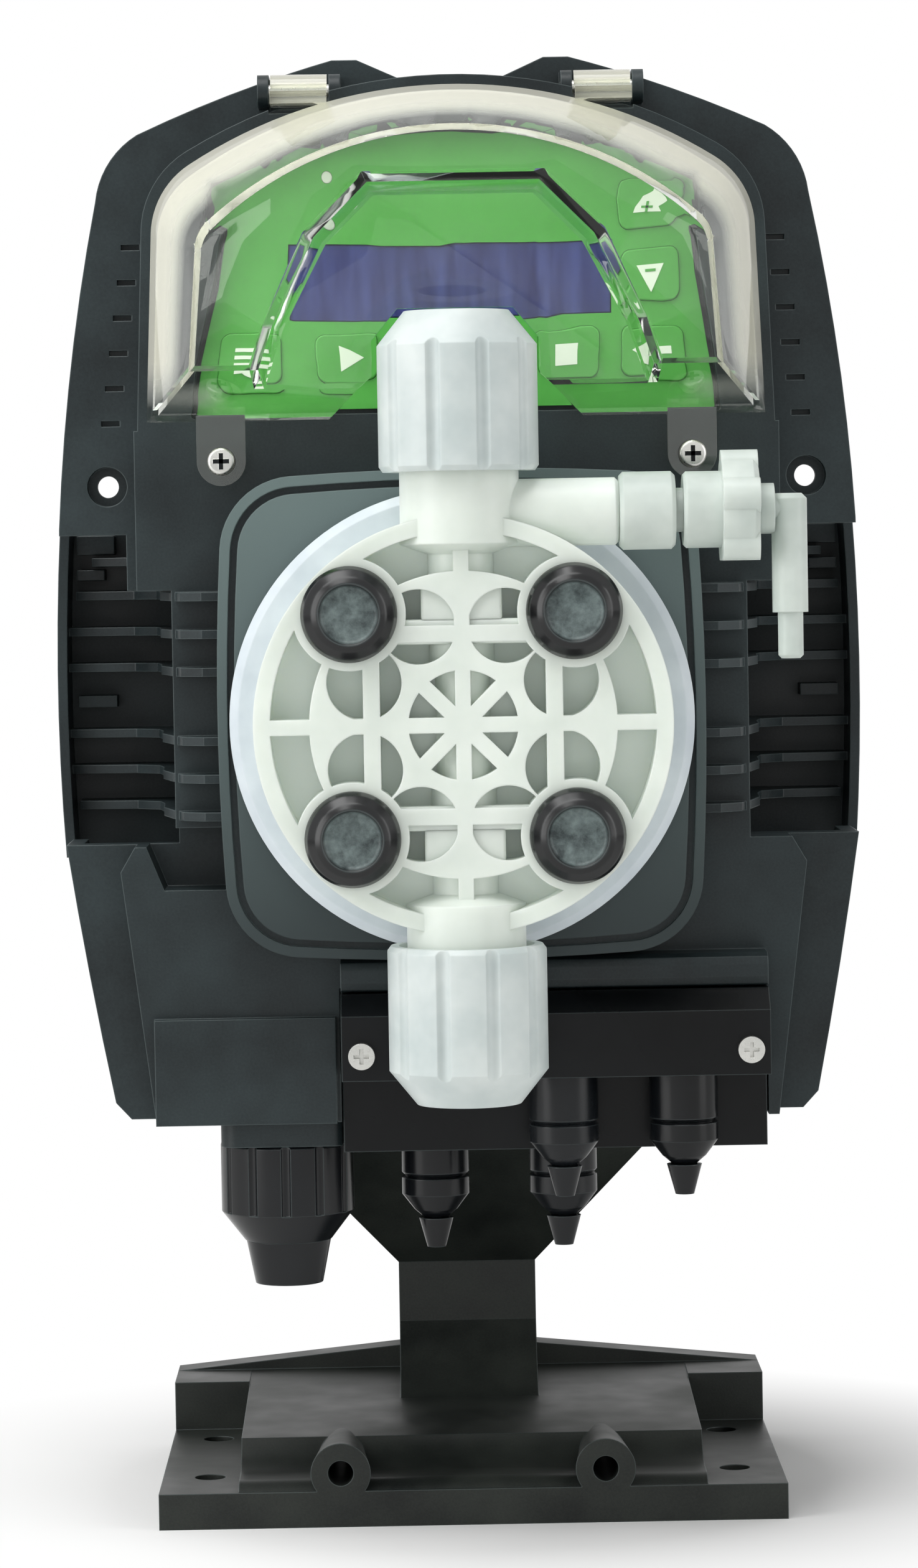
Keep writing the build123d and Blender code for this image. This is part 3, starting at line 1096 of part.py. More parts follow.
# ---------------------------------------------------------------- valves and union nuts
def valve_cartridge(base, lip_at_top):
    """Sleeve that holds seat and ball; `base` is its lower end's height."""
    top = base + CARTRIDGE_LENGTH
    lip_low = top + SEAL_THICK if lip_at_top else base - SEAL_THICK - CARTRIDGE_LIP
    bore_r = BALL_R + 0.35
    seat_top = base + SEAT_THICK + 0.5
    ball_mid = seat_top + BALL_R - 0.35
    stop = ball_mid + BALL_R + BALL_LIFT + 0.1
    with BuildPart() as sleeve:
        low_end = base if lip_at_top else base - SEAL_THICK
        high_end = top + SEAL_THICK if lip_at_top else top
        body = [(0, low_end), (CARTRIDGE_R, low_end), (CARTRIDGE_R, high_end), (0, high_end)]
        revolve(outline(port_plane(), body), axis=PORT_AXIS)
        lip = [
            (0, lip_low), (STUB_R - 0.2, lip_low), (STUB_R - 0.2, lip_low + CARTRIDGE_LIP),
            (0, lip_low + CARTRIDGE_LIP),
        ]
        revolve(outline(port_plane(), lip), axis=PORT_AXIS)
        bottom = min(low_end, lip_low)
        crown = max(high_end, lip_low + CARTRIDGE_LIP)
        bore = [
            (0, bottom), (SEAT_BORE_R, bottom), (SEAT_BORE_R, base + 0.5), (SEAT_R + RUN_GAP, base + 0.5),
            (SEAT_R + RUN_GAP, seat_top), (bore_r, seat_top), (bore_r, stop), (PORT_BORE_R, stop),
            (PORT_BORE_R, crown), (0, crown),
        ]
        revolve(outline(port_plane(), bore), axis=PORT_AXIS, mode=Mode.SUBTRACT)
    with BuildPart() as seat:
        ring = [
            (SEAT_BORE_R, base + 0.5), (SEAT_R, base + 0.5), (SEAT_R, seat_top),
            (bore_r - 0.2, seat_top), (SEAT_BORE_R, base + 1.1),
        ]
        revolve(outline(port_plane(), ring), axis=PORT_AXIS)
    with BuildPart() as ball:
        with Locations((0, DATUM_Y - PORT_DEPTH, HEAD_Z + ball_mid)):
            Sphere(BALL_R)
    return sleeve.part, seat.part, ball.part


def union_nut(start, sign):
    """Fluted union nut with a tapered shoulder; `start` is its inner end."""
    end = start + NUT_LENGTH
    seat = start + STUB_LENGTH + CARTRIDGE_LIP + 2 * SEAL_THICK + NIPPLE_FLANGE + 0.1
    with BuildPart() as nut:
        shell = [
            (0, sign * start), (NUT_R - 0.6, sign * start), (NUT_R, sign * (start + 0.8)),
            (NUT_R, sign * (end - NUT_TAPER)), (NUT_TOP_R, sign * end), (0, sign * end),
        ]
        revolve(outline(port_plane(), shell), axis=PORT_AXIS)
        with BuildSketch(Plane.XY.offset(HEAD_Z + sign * start)):
            with Locations((0, DATUM_Y - PORT_DEPTH)):
                with PolarLocations(NUT_R + NUT_FLUTE_R - 0.7, NUT_FLUTES):
                    Circle(NUT_FLUTE_R)
        extrude(amount=sign * NUT_LENGTH, mode=Mode.SUBTRACT)
        hollow = [
            (0, sign * start), (STUB_R + RUN_GAP, sign * start), (STUB_R + RUN_GAP, sign * seat),
            (NUT_HOLE_R, sign * (seat + 1.5)), (NUT_HOLE_R, sign * end), (0, sign * end),
        ]
        revolve(outline(port_plane(), hollow), axis=PORT_AXIS, mode=Mode.SUBTRACT)
    return nut.part


def hose_nipple(start, sign):
    """Flanged spigot that a hose pushes onto, held by the union nut."""
    low = start + STUB_LENGTH + CARTRIDGE_LIP + 2 * SEAL_THICK
    tip = start + NUT_LENGTH - 1.2
    with BuildPart() as nipple:
        body = [
            (HOSE_BORE_R, sign * low), (STUB_R - 0.2, sign * low), (STUB_R - 0.2, sign * (low + NIPPLE_FLANGE)),
            (NUT_HOLE_R + 0.6, sign * (low + NIPPLE_FLANGE)), (NIPPLE_R + 0.9, sign * (low + NIPPLE_FLANGE + 1.2)),
            (NIPPLE_R, sign * (low + NIPPLE_FLANGE + 2)), (NIPPLE_R, sign * (tip - 0.5)),
            (NIPPLE_R - 0.5, sign * tip), (HOSE_BORE_R, sign * tip),
        ]
        revolve(outline(port_plane(), body), axis=PORT_AXIS)
    return nipple.part


for name, start, sign, base in (
    ("discharge", DISCHARGE_NUT, 1, STUB_TOP - CARTRIDGE_LENGTH),
    ("suction", SUCTION_NUT, -1, -STUB_LOW),
):
    sleeve_part, seat_part, ball_part = valve_cartridge(base, lip_at_top=sign > 0)
    finish(sleeve_part, f"{name}_valve_body")
    finish(seat_part, f"{name}_valve_seat")
    finish(ball_part, f"{name}_valve_ball")
    finish(union_nut(start, sign), f"{name}_union_nut")
    finish(hose_nipple(start, sign), f"{name}_hose_nipple")

# ---------------------------------------------------------------- bleed valve
CHAMBER_END = 37.0
with BuildPart() as bleed_body:
    body_profile = [
        (BLEED_STUB_END - 6.4, 1.6), (BLEED_STUB_END - 6.4, 3.2), (BLEED_STUB_END, 3.2),
        (BLEED_STUB_END, BLEED_COLLAR_R - 0.6), (BLEED_STUB_END + 0.6, BLEED_COLLAR_R),
        (BLEED_COLLAR_END - 0.6, BLEED_COLLAR_R), (BLEED_COLLAR_END, BLEED_COLLAR_R - 0.6),
        (BLEED_COLLAR_END, SPINDLE_R), (CHAMBER_END, SPINDLE_R), (CHAMBER_END, NEEDLE_R + RUN_GAP),
        (BLEED_STUB_END + 3.5, NEEDLE_R + RUN_GAP), (BLEED_STUB_END + 2.0, 0.6),
        (BLEED_STUB_END, 0.6), (BLEED_STUB_END, 1.6),
    ]
    revolve(outline(port_plane(height=BLEED_HEIGHT), body_profile), axis=BLEED_AXIS)
finish(bleed_body.part, "bleed_valve_body")

NEEDLE_TAIL = KNOB_STEP - 0.6
with BuildPart() as bleed_needle:
    needle_profile = [
        (BLEED_STUB_END + 2.5, 0), (BLEED_STUB_END + 3.8, NEEDLE_R), (NEEDLE_TAIL, NEEDLE_R),
        (NEEDLE_TAIL, 0),
    ]
    revolve(outline(port_plane(height=BLEED_HEIGHT), needle_profile), axis=BLEED_AXIS)
finish(bleed_needle.part, "bleed_needle")

with BuildPart() as bleed_knob:
    hub_profile = [
        (KNOB_START, 0), (KNOB_START, KNOB_HUB_R - 0.5), (KNOB_START + 0.5, KNOB_HUB_R),
        (KNOB_STEP, KNOB_HUB_R), (KNOB_STEP, KNOB_R - 1.2), (KNOB_STEP + 0.8, KNOB_R - 1.2),
        (KNOB_END - 0.8, KNOB_R - 1.2), (KNOB_END, KNOB_R - 2.2), (KNOB_END, 0),
    ]
    revolve(outline(port_plane(height=BLEED_HEIGHT), hub_profile), axis=BLEED_AXIS)
    knob_face = Plane(
        origin=(KNOB_STEP, DATUM_Y - PORT_DEPTH, HEAD_Z + BLEED_HEIGHT), x_dir=(0, 0, 1),
        z_dir=(1, 0, 0),
    )
    with BuildSketch(knob_face):
        with PolarLocations(KNOB_R - KNOB_LOBE_R, KNOB_LOBES):
            Circle(KNOB_LOBE_R)
    extrude(amount=KNOB_END - KNOB_STEP)
    knob_bore = [
        (KNOB_START, 0), (KNOB_START, SPINDLE_R + RUN_GAP), (CHAMBER_END + FREE_GAP, SPINDLE_R + RUN_GAP),
        (CHAMBER_END + FREE_GAP, NEEDLE_R + RUN_GAP), (KNOB_STEP + 0.6, NEEDLE_R + RUN_GAP),
        (KNOB_STEP + 0.6, 2.2 + RUN_GAP), (KNOB_END, 2.2 + RUN_GAP), (KNOB_END, 0),
    ]
    revolve(outline(port_plane(height=BLEED_HEIGHT), knob_bore), axis=BLEED_AXIS, mode=Mode.SUBTRACT)
finish(bleed_knob.part, "bleed_knob")

with BuildPart() as bleed_elbow:
    arm_profile = [
        (KNOB_STEP + 1.0, 0), (KNOB_STEP + 1.0, 2.2), (KNOB_END + 0.2, 2.2),
        (KNOB_END + 0.2, ELBOW_COLLAR_R), (ELBOW_X - ELBOW_R + 0.4, ELBOW_COLLAR_R),
        (ELBOW_X - ELBOW_R + 0.4, ELBOW_TOP), (ELBOW_X, ELBOW_TOP), (ELBOW_X, 0),
    ]
    revolve(outline(port_plane(height=BLEED_HEIGHT), arm_profile), axis=BLEED_AXIS)
    nozzle_profile = [
        (0, ELBOW_TOP), (ELBOW_R - 0.8, ELBOW_TOP), (ELBOW_R, ELBOW_TOP - 0.8), (ELBOW_R, -ELBOW_DROP),
        (NOZZLE_R, -ELBOW_DROP), (NOZZLE_R, 0.5 - NOZZLE_DROP), (NOZZLE_R - 0.5, -NOZZLE_DROP),
        (0, -NOZZLE_DROP),
    ]
    nozzle_axis = Axis((ELBOW_X, DATUM_Y - PORT_DEPTH, HEAD_Z + BLEED_HEIGHT), (0, 0, 1))
    revolve(outline(port_plane(x=ELBOW_X, height=BLEED_HEIGHT), nozzle_profile), axis=nozzle_axis)
    with BuildSketch(Plane.XY.offset(HEAD_Z + BLEED_HEIGHT)):
        with Locations((ELBOW_X, DATUM_Y - PORT_DEPTH)):
            Circle(1.0)
    extrude(amount=-NOZZLE_DROP, mode=Mode.SUBTRACT)
    through = [(KNOB_STEP, 0), (KNOB_STEP, 1.0), (ELBOW_X, 1.0), (ELBOW_X, 0)]
    revolve(outline(port_plane(height=BLEED_HEIGHT), through), axis=BLEED_AXIS, mode=Mode.SUBTRACT)
finish(bleed_elbow.part, "bleed_elbow")

# ---------------------------------------------------------------- control panel
with BuildPart() as panel_label:
    with BuildSketch(front_plane(LABEL_DEPTH)):
        with BuildLine():
            Polyline(
                (-LABEL_HALF_TOP, LABEL_CORNER), (-LABEL_HALF_BOTTOM, LABEL_BOTTOM),
                (LABEL_HALF_BOTTOM, LABEL_BOTTOM), (LABEL_HALF_TOP, LABEL_CORNER),
            )
            ThreePointArc(
                (LABEL_HALF_TOP, LABEL_CORNER), (0, LABEL_TOP), (-LABEL_HALF_TOP, LABEL_CORNER)
            )
        make_face()
        with Locations((LCD_X, LCD_HEIGHT)):
            Rectangle(LCD_WIDE, LCD_HIGH, mode=Mode.SUBTRACT)
        for x, height in KEYS.values():
            with Locations((x, height)):
                RectangleRounded(
                    KEY_WIDE + 2 * RUN_GAP, KEY_HIGH + 2 * RUN_GAP, KEY_CORNER, mode=Mode.SUBTRACT
                )
        with Locations(*[(LED_X, height) for height in LED_HEIGHTS]):
            Circle(LED_R + RUN_GAP, mode=Mode.SUBTRACT)
    extrude(amount=LABEL_THICK)
finish(panel_label.part, "panel_label")

LABEL_FRONT = LABEL_DEPTH + LABEL_THICK
for name, (x, height) in KEYS.items():
    with BuildPart() as key:
        with BuildSketch(front_plane(LABEL_DEPTH - KEY_BASE)):
            with Locations((x, height)):
                RectangleRounded(KEY_WIDE, KEY_HIGH, KEY_CORNER)
        extrude(amount=KEY_BASE + LABEL_THICK + KEY_PROUD)
        fillet(key.faces().sort_by(Axis.Y)[0].edges(), 0.3)
    finish(key.part, name)

BOARD_FRONT = CAVITY_DEPTH
with BuildPart() as control_board:
    with BuildSketch(front_plane(BOARD_FRONT)):
        with Locations((0, LCD_HEIGHT - 1)):
            Rectangle(BOARD_WIDE, BOARD_HIGH)
    extrude(amount=-BOARD_THICK)
    with BuildSketch(front_plane(BOARD_FRONT - BOARD_THICK)):
        with Locations((-20, LCD_HEIGHT), (12, LCD_HEIGHT + 4)):
            Rectangle(14, 14)
        with Locations((30, LCD_HEIGHT - 8)):
            Rectangle(10, 16)
    extrude(amount=-4)
finish(control_board.part, "control_board")

with BuildPart() as lcd_module:
    with BuildSketch(front_plane(BOARD_FRONT)):
        with Locations((LCD_X, LCD_HEIGHT)):
            Rectangle(LCD_WIDE + 2, LCD_HIGH + 2)
    extrude(amount=LABEL_DEPTH - BOARD_FRONT)
    with BuildSketch(front_plane(LABEL_DEPTH)):
        with Locations((LCD_X, LCD_HEIGHT)):
            Rectangle(LCD_WIDE - 0.4, LCD_HIGH - 0.4)
    extrude(amount=LABEL_THICK - 0.3)
finish(lcd_module.part, "lcd_module")

with BuildPart() as led_lenses:
    with BuildSketch(front_plane(BOARD_FRONT)):
        with Locations(*[(LED_X, height) for height in LED_HEIGHTS]):
            Circle(LED_R)
    extrude(amount=LABEL_FRONT - BOARD_FRONT)
finish(led_lenses.part, "led_lenses")

# ---------------------------------------------------------------- clear cover
COVER_LEAN = 7.5            # how far the cover's front face stands in from its rim
RELIEF_LEAN = 2.0
NOTCH_TOP = DISCHARGE_NUT + NUT_LENGTH + 1.4
NOTCH = [
    (-20.3, COVER_BOTTOM - 6), (20.3, COVER_BOTTOM - 6), (20.3, COVER_BOTTOM),
    (NOTCH_HALF, COVER_BOTTOM + 6.5), (NOTCH_HALF, NOTCH_TOP - 5), (NUT_TOP_R + 1, NOTCH_TOP),
    (-NUT_TOP_R - 1, NOTCH_TOP), (-NOTCH_HALF, NOTCH_TOP - 5), (-NOTCH_HALF, COVER_BOTTOM + 6.5),
    (-20.3, COVER_BOTTOM),
]
RELIEF_FLOOR = COVER_FRONT - RELIEF_DEPTH


def relief_face(plane, grow=0.0):
    """Funnel-shaped recess that keeps the cover clear of the discharge nut."""
    right = [
        (12.6 + grow / 2, COVER_TOP - 18.1 + grow), (20.2 + grow, COVER_TOP - 25.7 + grow / 2),
        (27.0 + grow, COVER_TOP - 38.7), (31.0 + grow, COVER_BOTTOM + 2.2), (31.0 + grow, COVER_BOTTOM - 5),
    ]
    left = [(-x, height) for x, height in reversed(right)]
    return outline(plane, right + left)


def cover_dome(rim_depth, front_depth, inset):
    """Solid arch that leans in towards its front face."""
    lean = COVER_LEAN * (front_depth - rim_depth) / (COVER_FRONT - COVER_SEAT)
    rim = arch_face(front_plane(rim_depth), -inset, COVER_BOTTOM + inset)
    front = arch_face(front_plane(front_depth), -inset - lean, COVER_BOTTOM + inset + lean)
    return Solid.make_loft([rim.face().outer_wire(), front.face().outer_wire()], ruled=True)


with BuildPart() as cover_hollow:
    add(cover_dome(COVER_SEAT - 1, COVER_FRONT - COVER_WALL, COVER_WALL - 0.6))
    loft(
        sections=[
            relief_face(front_plane(RELIEF_FLOOR - COVER_WALL), COVER_WALL),
            relief_face(front_plane(COVER_FRONT), COVER_WALL + RELIEF_LEAN),
        ],
        mode=Mode.SUBTRACT,
    )

with BuildPart() as panel_cover:
    add(cover_dome(COVER_SEAT, COVER_FRONT, 0))
    loft(
        sections=[
            relief_face(front_plane(RELIEF_FLOOR)),
            relief_face(front_plane(COVER_FRONT + 1), RELIEF_LEAN),
        ],
        mode=Mode.SUBTRACT,
    )
    # hinge knuckles and their arms, screw tongues
    for side in (-1, 1):
        with BuildSketch(side_plane(side * HINGE_X)):
            with Locations((HINGE_DEPTH, HINGE_HEIGHT)):
                Circle(KNUCKLE_R)
            with Locations(((HINGE_DEPTH + COVER_SEAT + 3) / 2, HINGE_HEIGHT - KNUCKLE_R + 1.0)):
                Rectangle(COVER_SEAT + 3 - HINGE_DEPTH, 2.0)
        extrude(amount=KNUCKLE_LONG / 2, both=True)
        with BuildSketch(front_plane(COVER_SEAT)):
            with Locations((side * TONGUE_X, (TONGUE_HEIGHT + COVER_BOTTOM + 2) / 2)):
                Rectangle(2 * TONGUE_HALF, COVER_BOTTOM + 2 - TONGUE_HEIGHT)
            with Locations((side * TONGUE_X, TONGUE_HEIGHT)):
                Circle(TONGUE_HALF)
        extrude(amount=TONGUE_THICK)
    # ---- cuts
    add(cover_hollow.part, mode=Mode.SUBTRACT)
    extrude(outline(front_plane(COVER_SEAT - 1), NOTCH), amount=COVER_FRONT, mode=Mode.SUBTRACT)
    for side in (-1, 1):
        with BuildSketch(side_plane(side * HINGE_X)):
            with Locations((HINGE_DEPTH, HINGE_HEIGHT)):
                Circle(PIN_R + RUN_GAP)
        extrude(amount=KNUCKLE_LONG / 2, both=True, mode=Mode.SUBTRACT)
    with BuildSketch(front_plane(COVER_SEAT)):
        with Locations((-TONGUE_X, TONGUE_HEIGHT), (TONGUE_X, TONGUE_HEIGHT)):
            Circle(SCREW_R + RUN_GAP)
    extrude(amount=TONGUE_THICK, mode=Mode.SUBTRACT)
finish(panel_cover.part, "panel_cover")

with BuildPart() as cover_hinge_pins:
    for side in (-1, 1):
        with BuildSketch(side_plane(side * HINGE_X)):
            with Locations((HINGE_DEPTH, HINGE_HEIGHT)):
                Circle(PIN_R)
        extrude(amount=KNUCKLE_LONG / 2 + FREE_GAP + EAR_THICK, both=True)
finish(cover_hinge_pins.part, "cover_hinge_pins")

with BuildPart() as cover_screws:
    cover_spots = [(-TONGUE_X, TONGUE_HEIGHT), (TONGUE_X, TONGUE_HEIGHT)]
    with BuildSketch(front_plane(COVER_SEAT + TONGUE_THICK)):
        with Locations(*cover_spots):
            Circle(SCREW_HEAD_R)
    extrude(amount=1.8)
    fillet(cover_screws.faces().sort_by(Axis.Y)[0:2].edges(), 0.6)
    with BuildSketch(front_plane(COVER_SEAT + TONGUE_THICK + 1.8)):
        with Locations(*cover_spots):
            Rectangle(3.2, 0.7)
            Rectangle(0.7, 3.2)
    extrude(amount=-1.1, mode=Mode.SUBTRACT)
    with BuildSketch(front_plane(COVER_SEAT + TONGUE_THICK)):
        with Locations(*cover_spots):
            Circle(SCREW_R)
    extrude(amount=-TONGUE_THICK - 4)
finish(cover_screws.part, "cover_screws")

# ---------------------------------------------------------------- terminal box
TERM_MID = (TERM_LEFT + TERM_RIGHT) / 2
TERM_SPOTS = [(TERM_LEFT + 3.2, TERM_SCREW_HEIGHT), (TERM_RIGHT - 3.2, TERM_SCREW_HEIGHT)]
TERM_PROFILE = [            # (depth, height) around the stepped lid
    (TERM_SEAT, TERM_TOP), (TERM_FRONT - 4, TERM_TOP), (TERM_FRONT, TERM_TOP - 3.2),
    (TERM_FRONT, TERM_STEP), (TERM_LOW_FRONT, TERM_STEP), (TERM_LOW_FRONT, TERM_BOTTOM),
    (TERM_SEAT, TERM_BOTTOM),
]
with BuildPart() as terminal_cover:
    extrude(outline(side_plane(TERM_MID), TERM_PROFILE), amount=(TERM_RIGHT - TERM_LEFT) / 2, both=True)
    inside = [
        (TERM_SEAT, TERM_TOP - TERM_WALL), (TERM_FRONT - 4.6, TERM_TOP - TERM_WALL),
        (TERM_FRONT - TERM_WALL, TERM_TOP - 4.6), (TERM_FRONT - TERM_WALL, TERM_STEP + TERM_WALL),
        (TERM_LOW_FRONT - TERM_WALL, TERM_STEP + TERM_WALL),
        (TERM_LOW_FRONT - TERM_WALL, TERM_BOTTOM + TERM_WALL), (TERM_SEAT, TERM_BOTTOM + TERM_WALL),
    ]
    extrude(
        outline(side_plane(TERM_MID), inside), amount=(TERM_RIGHT - TERM_LEFT) / 2 - TERM_WALL,
        both=True, mode=Mode.SUBTRACT,
    )
    # screw posts
    with BuildSketch(front_plane(TERM_SEAT)):
        with Locations(*TERM_SPOTS):
            Circle(SCREW_R + TERM_WALL - 0.7)
    extrude(amount=TERM_FRONT - TERM_SEAT - 1)
    with BuildSketch(front_plane(TERM_SEAT)):
        with Locations(*TERM_SPOTS):
            Circle(SCREW_R + 0.15)
    extrude(amount=TERM_FRONT - TERM_SEAT, mode=Mode.SUBTRACT)
    # bores for the front row of glands
    with BuildSketch(level_plane(TERM_STEP + TERM_WALL)):
        with Locations(*[(x, FRONT_GLAND_DEPTH) for x in FRONT_GLANDS]):
            Circle(GLAND_SHANK_R + RUN_GAP)
    extrude(amount=TERM_WALL, mode=Mode.SUBTRACT)
finish(terminal_cover.part, "terminal_cover")

with BuildPart() as terminal_cover_screws:
    with BuildSketch(front_plane(TERM_FRONT)):
        with Locations(*TERM_SPOTS):
            Circle(TERM_SCREW_HEAD_R)
    extrude(amount=1.6)
    with BuildSketch(front_plane(TERM_FRONT + 1.6)):
        with Locations(*TERM_SPOTS):
            Rectangle(2.4, 0.6)
            Rectangle(0.6, 2.4)
    extrude(amount=-1.0, mode=Mode.SUBTRACT)
    with BuildSketch(front_plane(TERM_FRONT)):
        with Locations(*TERM_SPOTS):
            Circle(SCREW_R - 0.1)
    extrude(amount=TERM_SEAT - TERM_FRONT - 5)
finish(terminal_cover_screws.part, "terminal_cover_screws")

with BuildPart() as terminal_block:
    with BuildSketch(front_plane(TERM_SEAT - WALL)):
        with Locations((TERM_MID - 4, TERM_TOP - 7.5)):
            Rectangle(44, 7)
    extrude(amount=8)
    with BuildSketch(front_plane(TERM_SEAT - WALL + 8)):
        with Locations((TERM_MID - 4, TERM_TOP - 7.5)):
            with GridLocations(5, 0, 8, 1):
                Circle(1.5)
    extrude(amount=-3, mode=Mode.SUBTRACT)
finish(terminal_block.part, "terminal_block")


# ---------------------------------------------------------------- cable glands
def gland_group(part_of, spots_top):
    """One node of small-gland pieces; spots_top holds (x, depth, seat height)."""
    with BuildPart() as group:
        for x, depth, seat in spots_top:
            axis = Axis((x, DATUM_Y - depth, HEAD_Z), (0, 0, 1))
            line = seat - GLAND_BODY
            if part_of == "body":
                profile = [
                    (GLAND_SHANK_R - 1.2, seat + 5), (GLAND_SHANK_R, seat + 5), (GLAND_SHANK_R, seat),
                    (GLAND_R, seat), (GLAND_R, line + 0.4), (GLAND_R - 0.4, line),
                    (GLAND_SHANK_R - 1.2, line),
                ]
            elif part_of == "nut":
                profile = [
                    (GLAND_SHANK_R - 1.2, line), (GLAND_R - 0.5, line), (GLAND_R, line - 0.5),
                    (GLAND_R, line - 3.2), (GLAND_TIP_R + 1.4, line - GLAND_DOME),
                    (GLAND_TIP_R, line - GLAND_DOME - 1.2), (GLAND_SHANK_R - 1.2, line - 1.2),
                ]
            else:
                profile = [
                    (0, line - GLAND_DOME + 1.4), (GLAND_TIP_R - 0.3, line - GLAND_DOME + 1.4),
                    (GLAND_TIP_R - 0.3, line - GLAND_DOME - 1.2), (GLAND_TIP_R + 0.7, line - GLAND_DOME - 1.4),
                    (GLAND_TIP_R - 0.6, line - GLAND_DOME - GLAND_TIP), (0, line - GLAND_DOME - GLAND_TIP),
                ]
            revolve(outline(port_plane(x=x, depth=depth), profile), axis=axis)
    return group.part


GLAND_SPOTS = [(x, FRONT_GLAND_DEPTH, TERM_STEP) for x in FRONT_GLANDS]
GLAND_SPOTS += [(x, REAR_GLAND_DEPTH, REAR_GLAND_TOP) for x in REAR_GLANDS]
finish(gland_group("body", GLAND_SPOTS), "signal_gland_bodies")
finish(gland_group("nut", GLAND_SPOTS), "signal_gland_nuts")
finish(gland_group("plug", GLAND_SPOTS), "signal_gland_plugs")

POWER_AXIS = Axis((POWER_X, DATUM_Y - POWER_DEPTH, HEAD_Z), (0, 0, 1))
POWER_LINE = POWER_FLANGE_BOTTOM - POWER_NUT_LONG
with BuildPart() as power_gland_body:
    profile = [
        (POWER_BORE_R, POWER_FLANGE_BOTTOM + 6), (POWER_STEM_R, POWER_FLANGE_BOTTOM + 6),
        (POWER_STEM_R, POWER_FLANGE_BOTTOM - 8), (POWER_BORE_R, POWER_FLANGE_BOTTOM - 8),
    ]
    revolve(outline(port_plane(x=POWER_X, depth=POWER_DEPTH), profile), axis=POWER_AXIS)
finish(power_gland_body.part, "power_gland_body")

with BuildPart() as power_gland_nut:
    profile = [
        (POWER_STEM_R + RUN_GAP, POWER_FLANGE_BOTTOM), (POWER_NUT_R - 0.4, POWER_FLANGE_BOTTOM),
        (POWER_NUT_R, POWER_FLANGE_BOTTOM - 0.4), (POWER_NUT_R, POWER_LINE),
        (POWER_STEM_R + 0.2, POWER_LINE - POWER_TAPER), (POWER_BORE_R + 1.2, POWER_LINE - POWER_TAPER),
        (POWER_BORE_R + 1.2, POWER_LINE - 1), (POWER_STEM_R + RUN_GAP, POWER_LINE + 1),
    ]
    revolve(outline(port_plane(x=POWER_X, depth=POWER_DEPTH), profile), axis=POWER_AXIS)
    with BuildSketch(level_plane(POWER_FLANGE_BOTTOM)):
        with Locations((POWER_X, POWER_DEPTH)):
            with PolarLocations(POWER_NUT_R + 0.4, 12):
                Circle(0.9)
    extrude(amount=POWER_NUT_LONG, mode=Mode.SUBTRACT)
finish(power_gland_nut.part, "power_gland_nut")

with BuildPart() as power_gland_sleeve:
    low = POWER_LINE - POWER_TAPER
    profile = [
        (POWER_BORE_R - 1, low + 5), (POWER_BORE_R + 1.2 - RUN_GAP, low + 5), (POWER_BORE_R + 1.2 - RUN_GAP, low),
        (POWER_STEM_R, low), (POWER_STEM_END_R, low - POWER_STEM_LONG),
        (POWER_BORE_R - 1, low - POWER_STEM_LONG),
    ]
    revolve(outline(port_plane(x=POWER_X, depth=POWER_DEPTH), profile), axis=POWER_AXIS)
finish(power_gland_sleeve.part, "power_gland_sleeve")

# ---------------------------------------------------------------- seals
with BuildPart() as port_seals:
    for start, sign in ((DISCHARGE_NUT, 1), (SUCTION_NUT, -1)):
        for gap in (STUB_LENGTH, STUB_LENGTH + SEAL_THICK + CARTRIDGE_LIP):
            with BuildSketch(Plane.XY.offset(HEAD_Z + sign * (start + gap))):
                with Locations((0, DATUM_Y - PORT_DEPTH)):
                    Circle(STUB_R - 0.4)
                    Circle(CARTRIDGE_R + RUN_GAP, mode=Mode.SUBTRACT)
            extrude(amount=sign * SEAL_THICK)
finish(port_seals.part, "port_seals")
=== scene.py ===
import math

import bmesh
import bpy
from mathutils import Matrix, Vector


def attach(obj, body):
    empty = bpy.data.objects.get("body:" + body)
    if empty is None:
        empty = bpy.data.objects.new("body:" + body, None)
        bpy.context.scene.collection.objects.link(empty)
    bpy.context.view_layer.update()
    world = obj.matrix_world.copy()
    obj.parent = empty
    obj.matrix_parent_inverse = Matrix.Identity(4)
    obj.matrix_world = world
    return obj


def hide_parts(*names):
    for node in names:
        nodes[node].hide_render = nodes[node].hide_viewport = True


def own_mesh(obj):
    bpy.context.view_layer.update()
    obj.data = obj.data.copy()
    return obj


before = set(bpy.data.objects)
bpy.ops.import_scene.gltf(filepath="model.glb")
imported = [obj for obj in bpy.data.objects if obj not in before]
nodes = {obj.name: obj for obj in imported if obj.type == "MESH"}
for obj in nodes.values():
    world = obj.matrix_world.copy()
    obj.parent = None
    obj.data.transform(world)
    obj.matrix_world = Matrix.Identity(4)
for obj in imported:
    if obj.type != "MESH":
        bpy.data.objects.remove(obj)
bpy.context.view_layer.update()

# ---------------------------------------------------------------- sizes, in metres
MM = 0.001
HEAD_Z = 0.135                  # head axis above the foot's underside
PAD_FACE_Y = -0.0740            # front of the pad that carries the head
LABEL_Y = -0.0618               # front of the panel film
RIB_FACE_Y = -0.1000            # front of the pump head's ribs
CAP_SPOT = 0.0172               # screw caps' distance from the head's upright and level centre lines

COVER_FRONT_Y = -0.0668         # cover edges in front of this are rounded
COVER_ROUND = 0.45 * MM

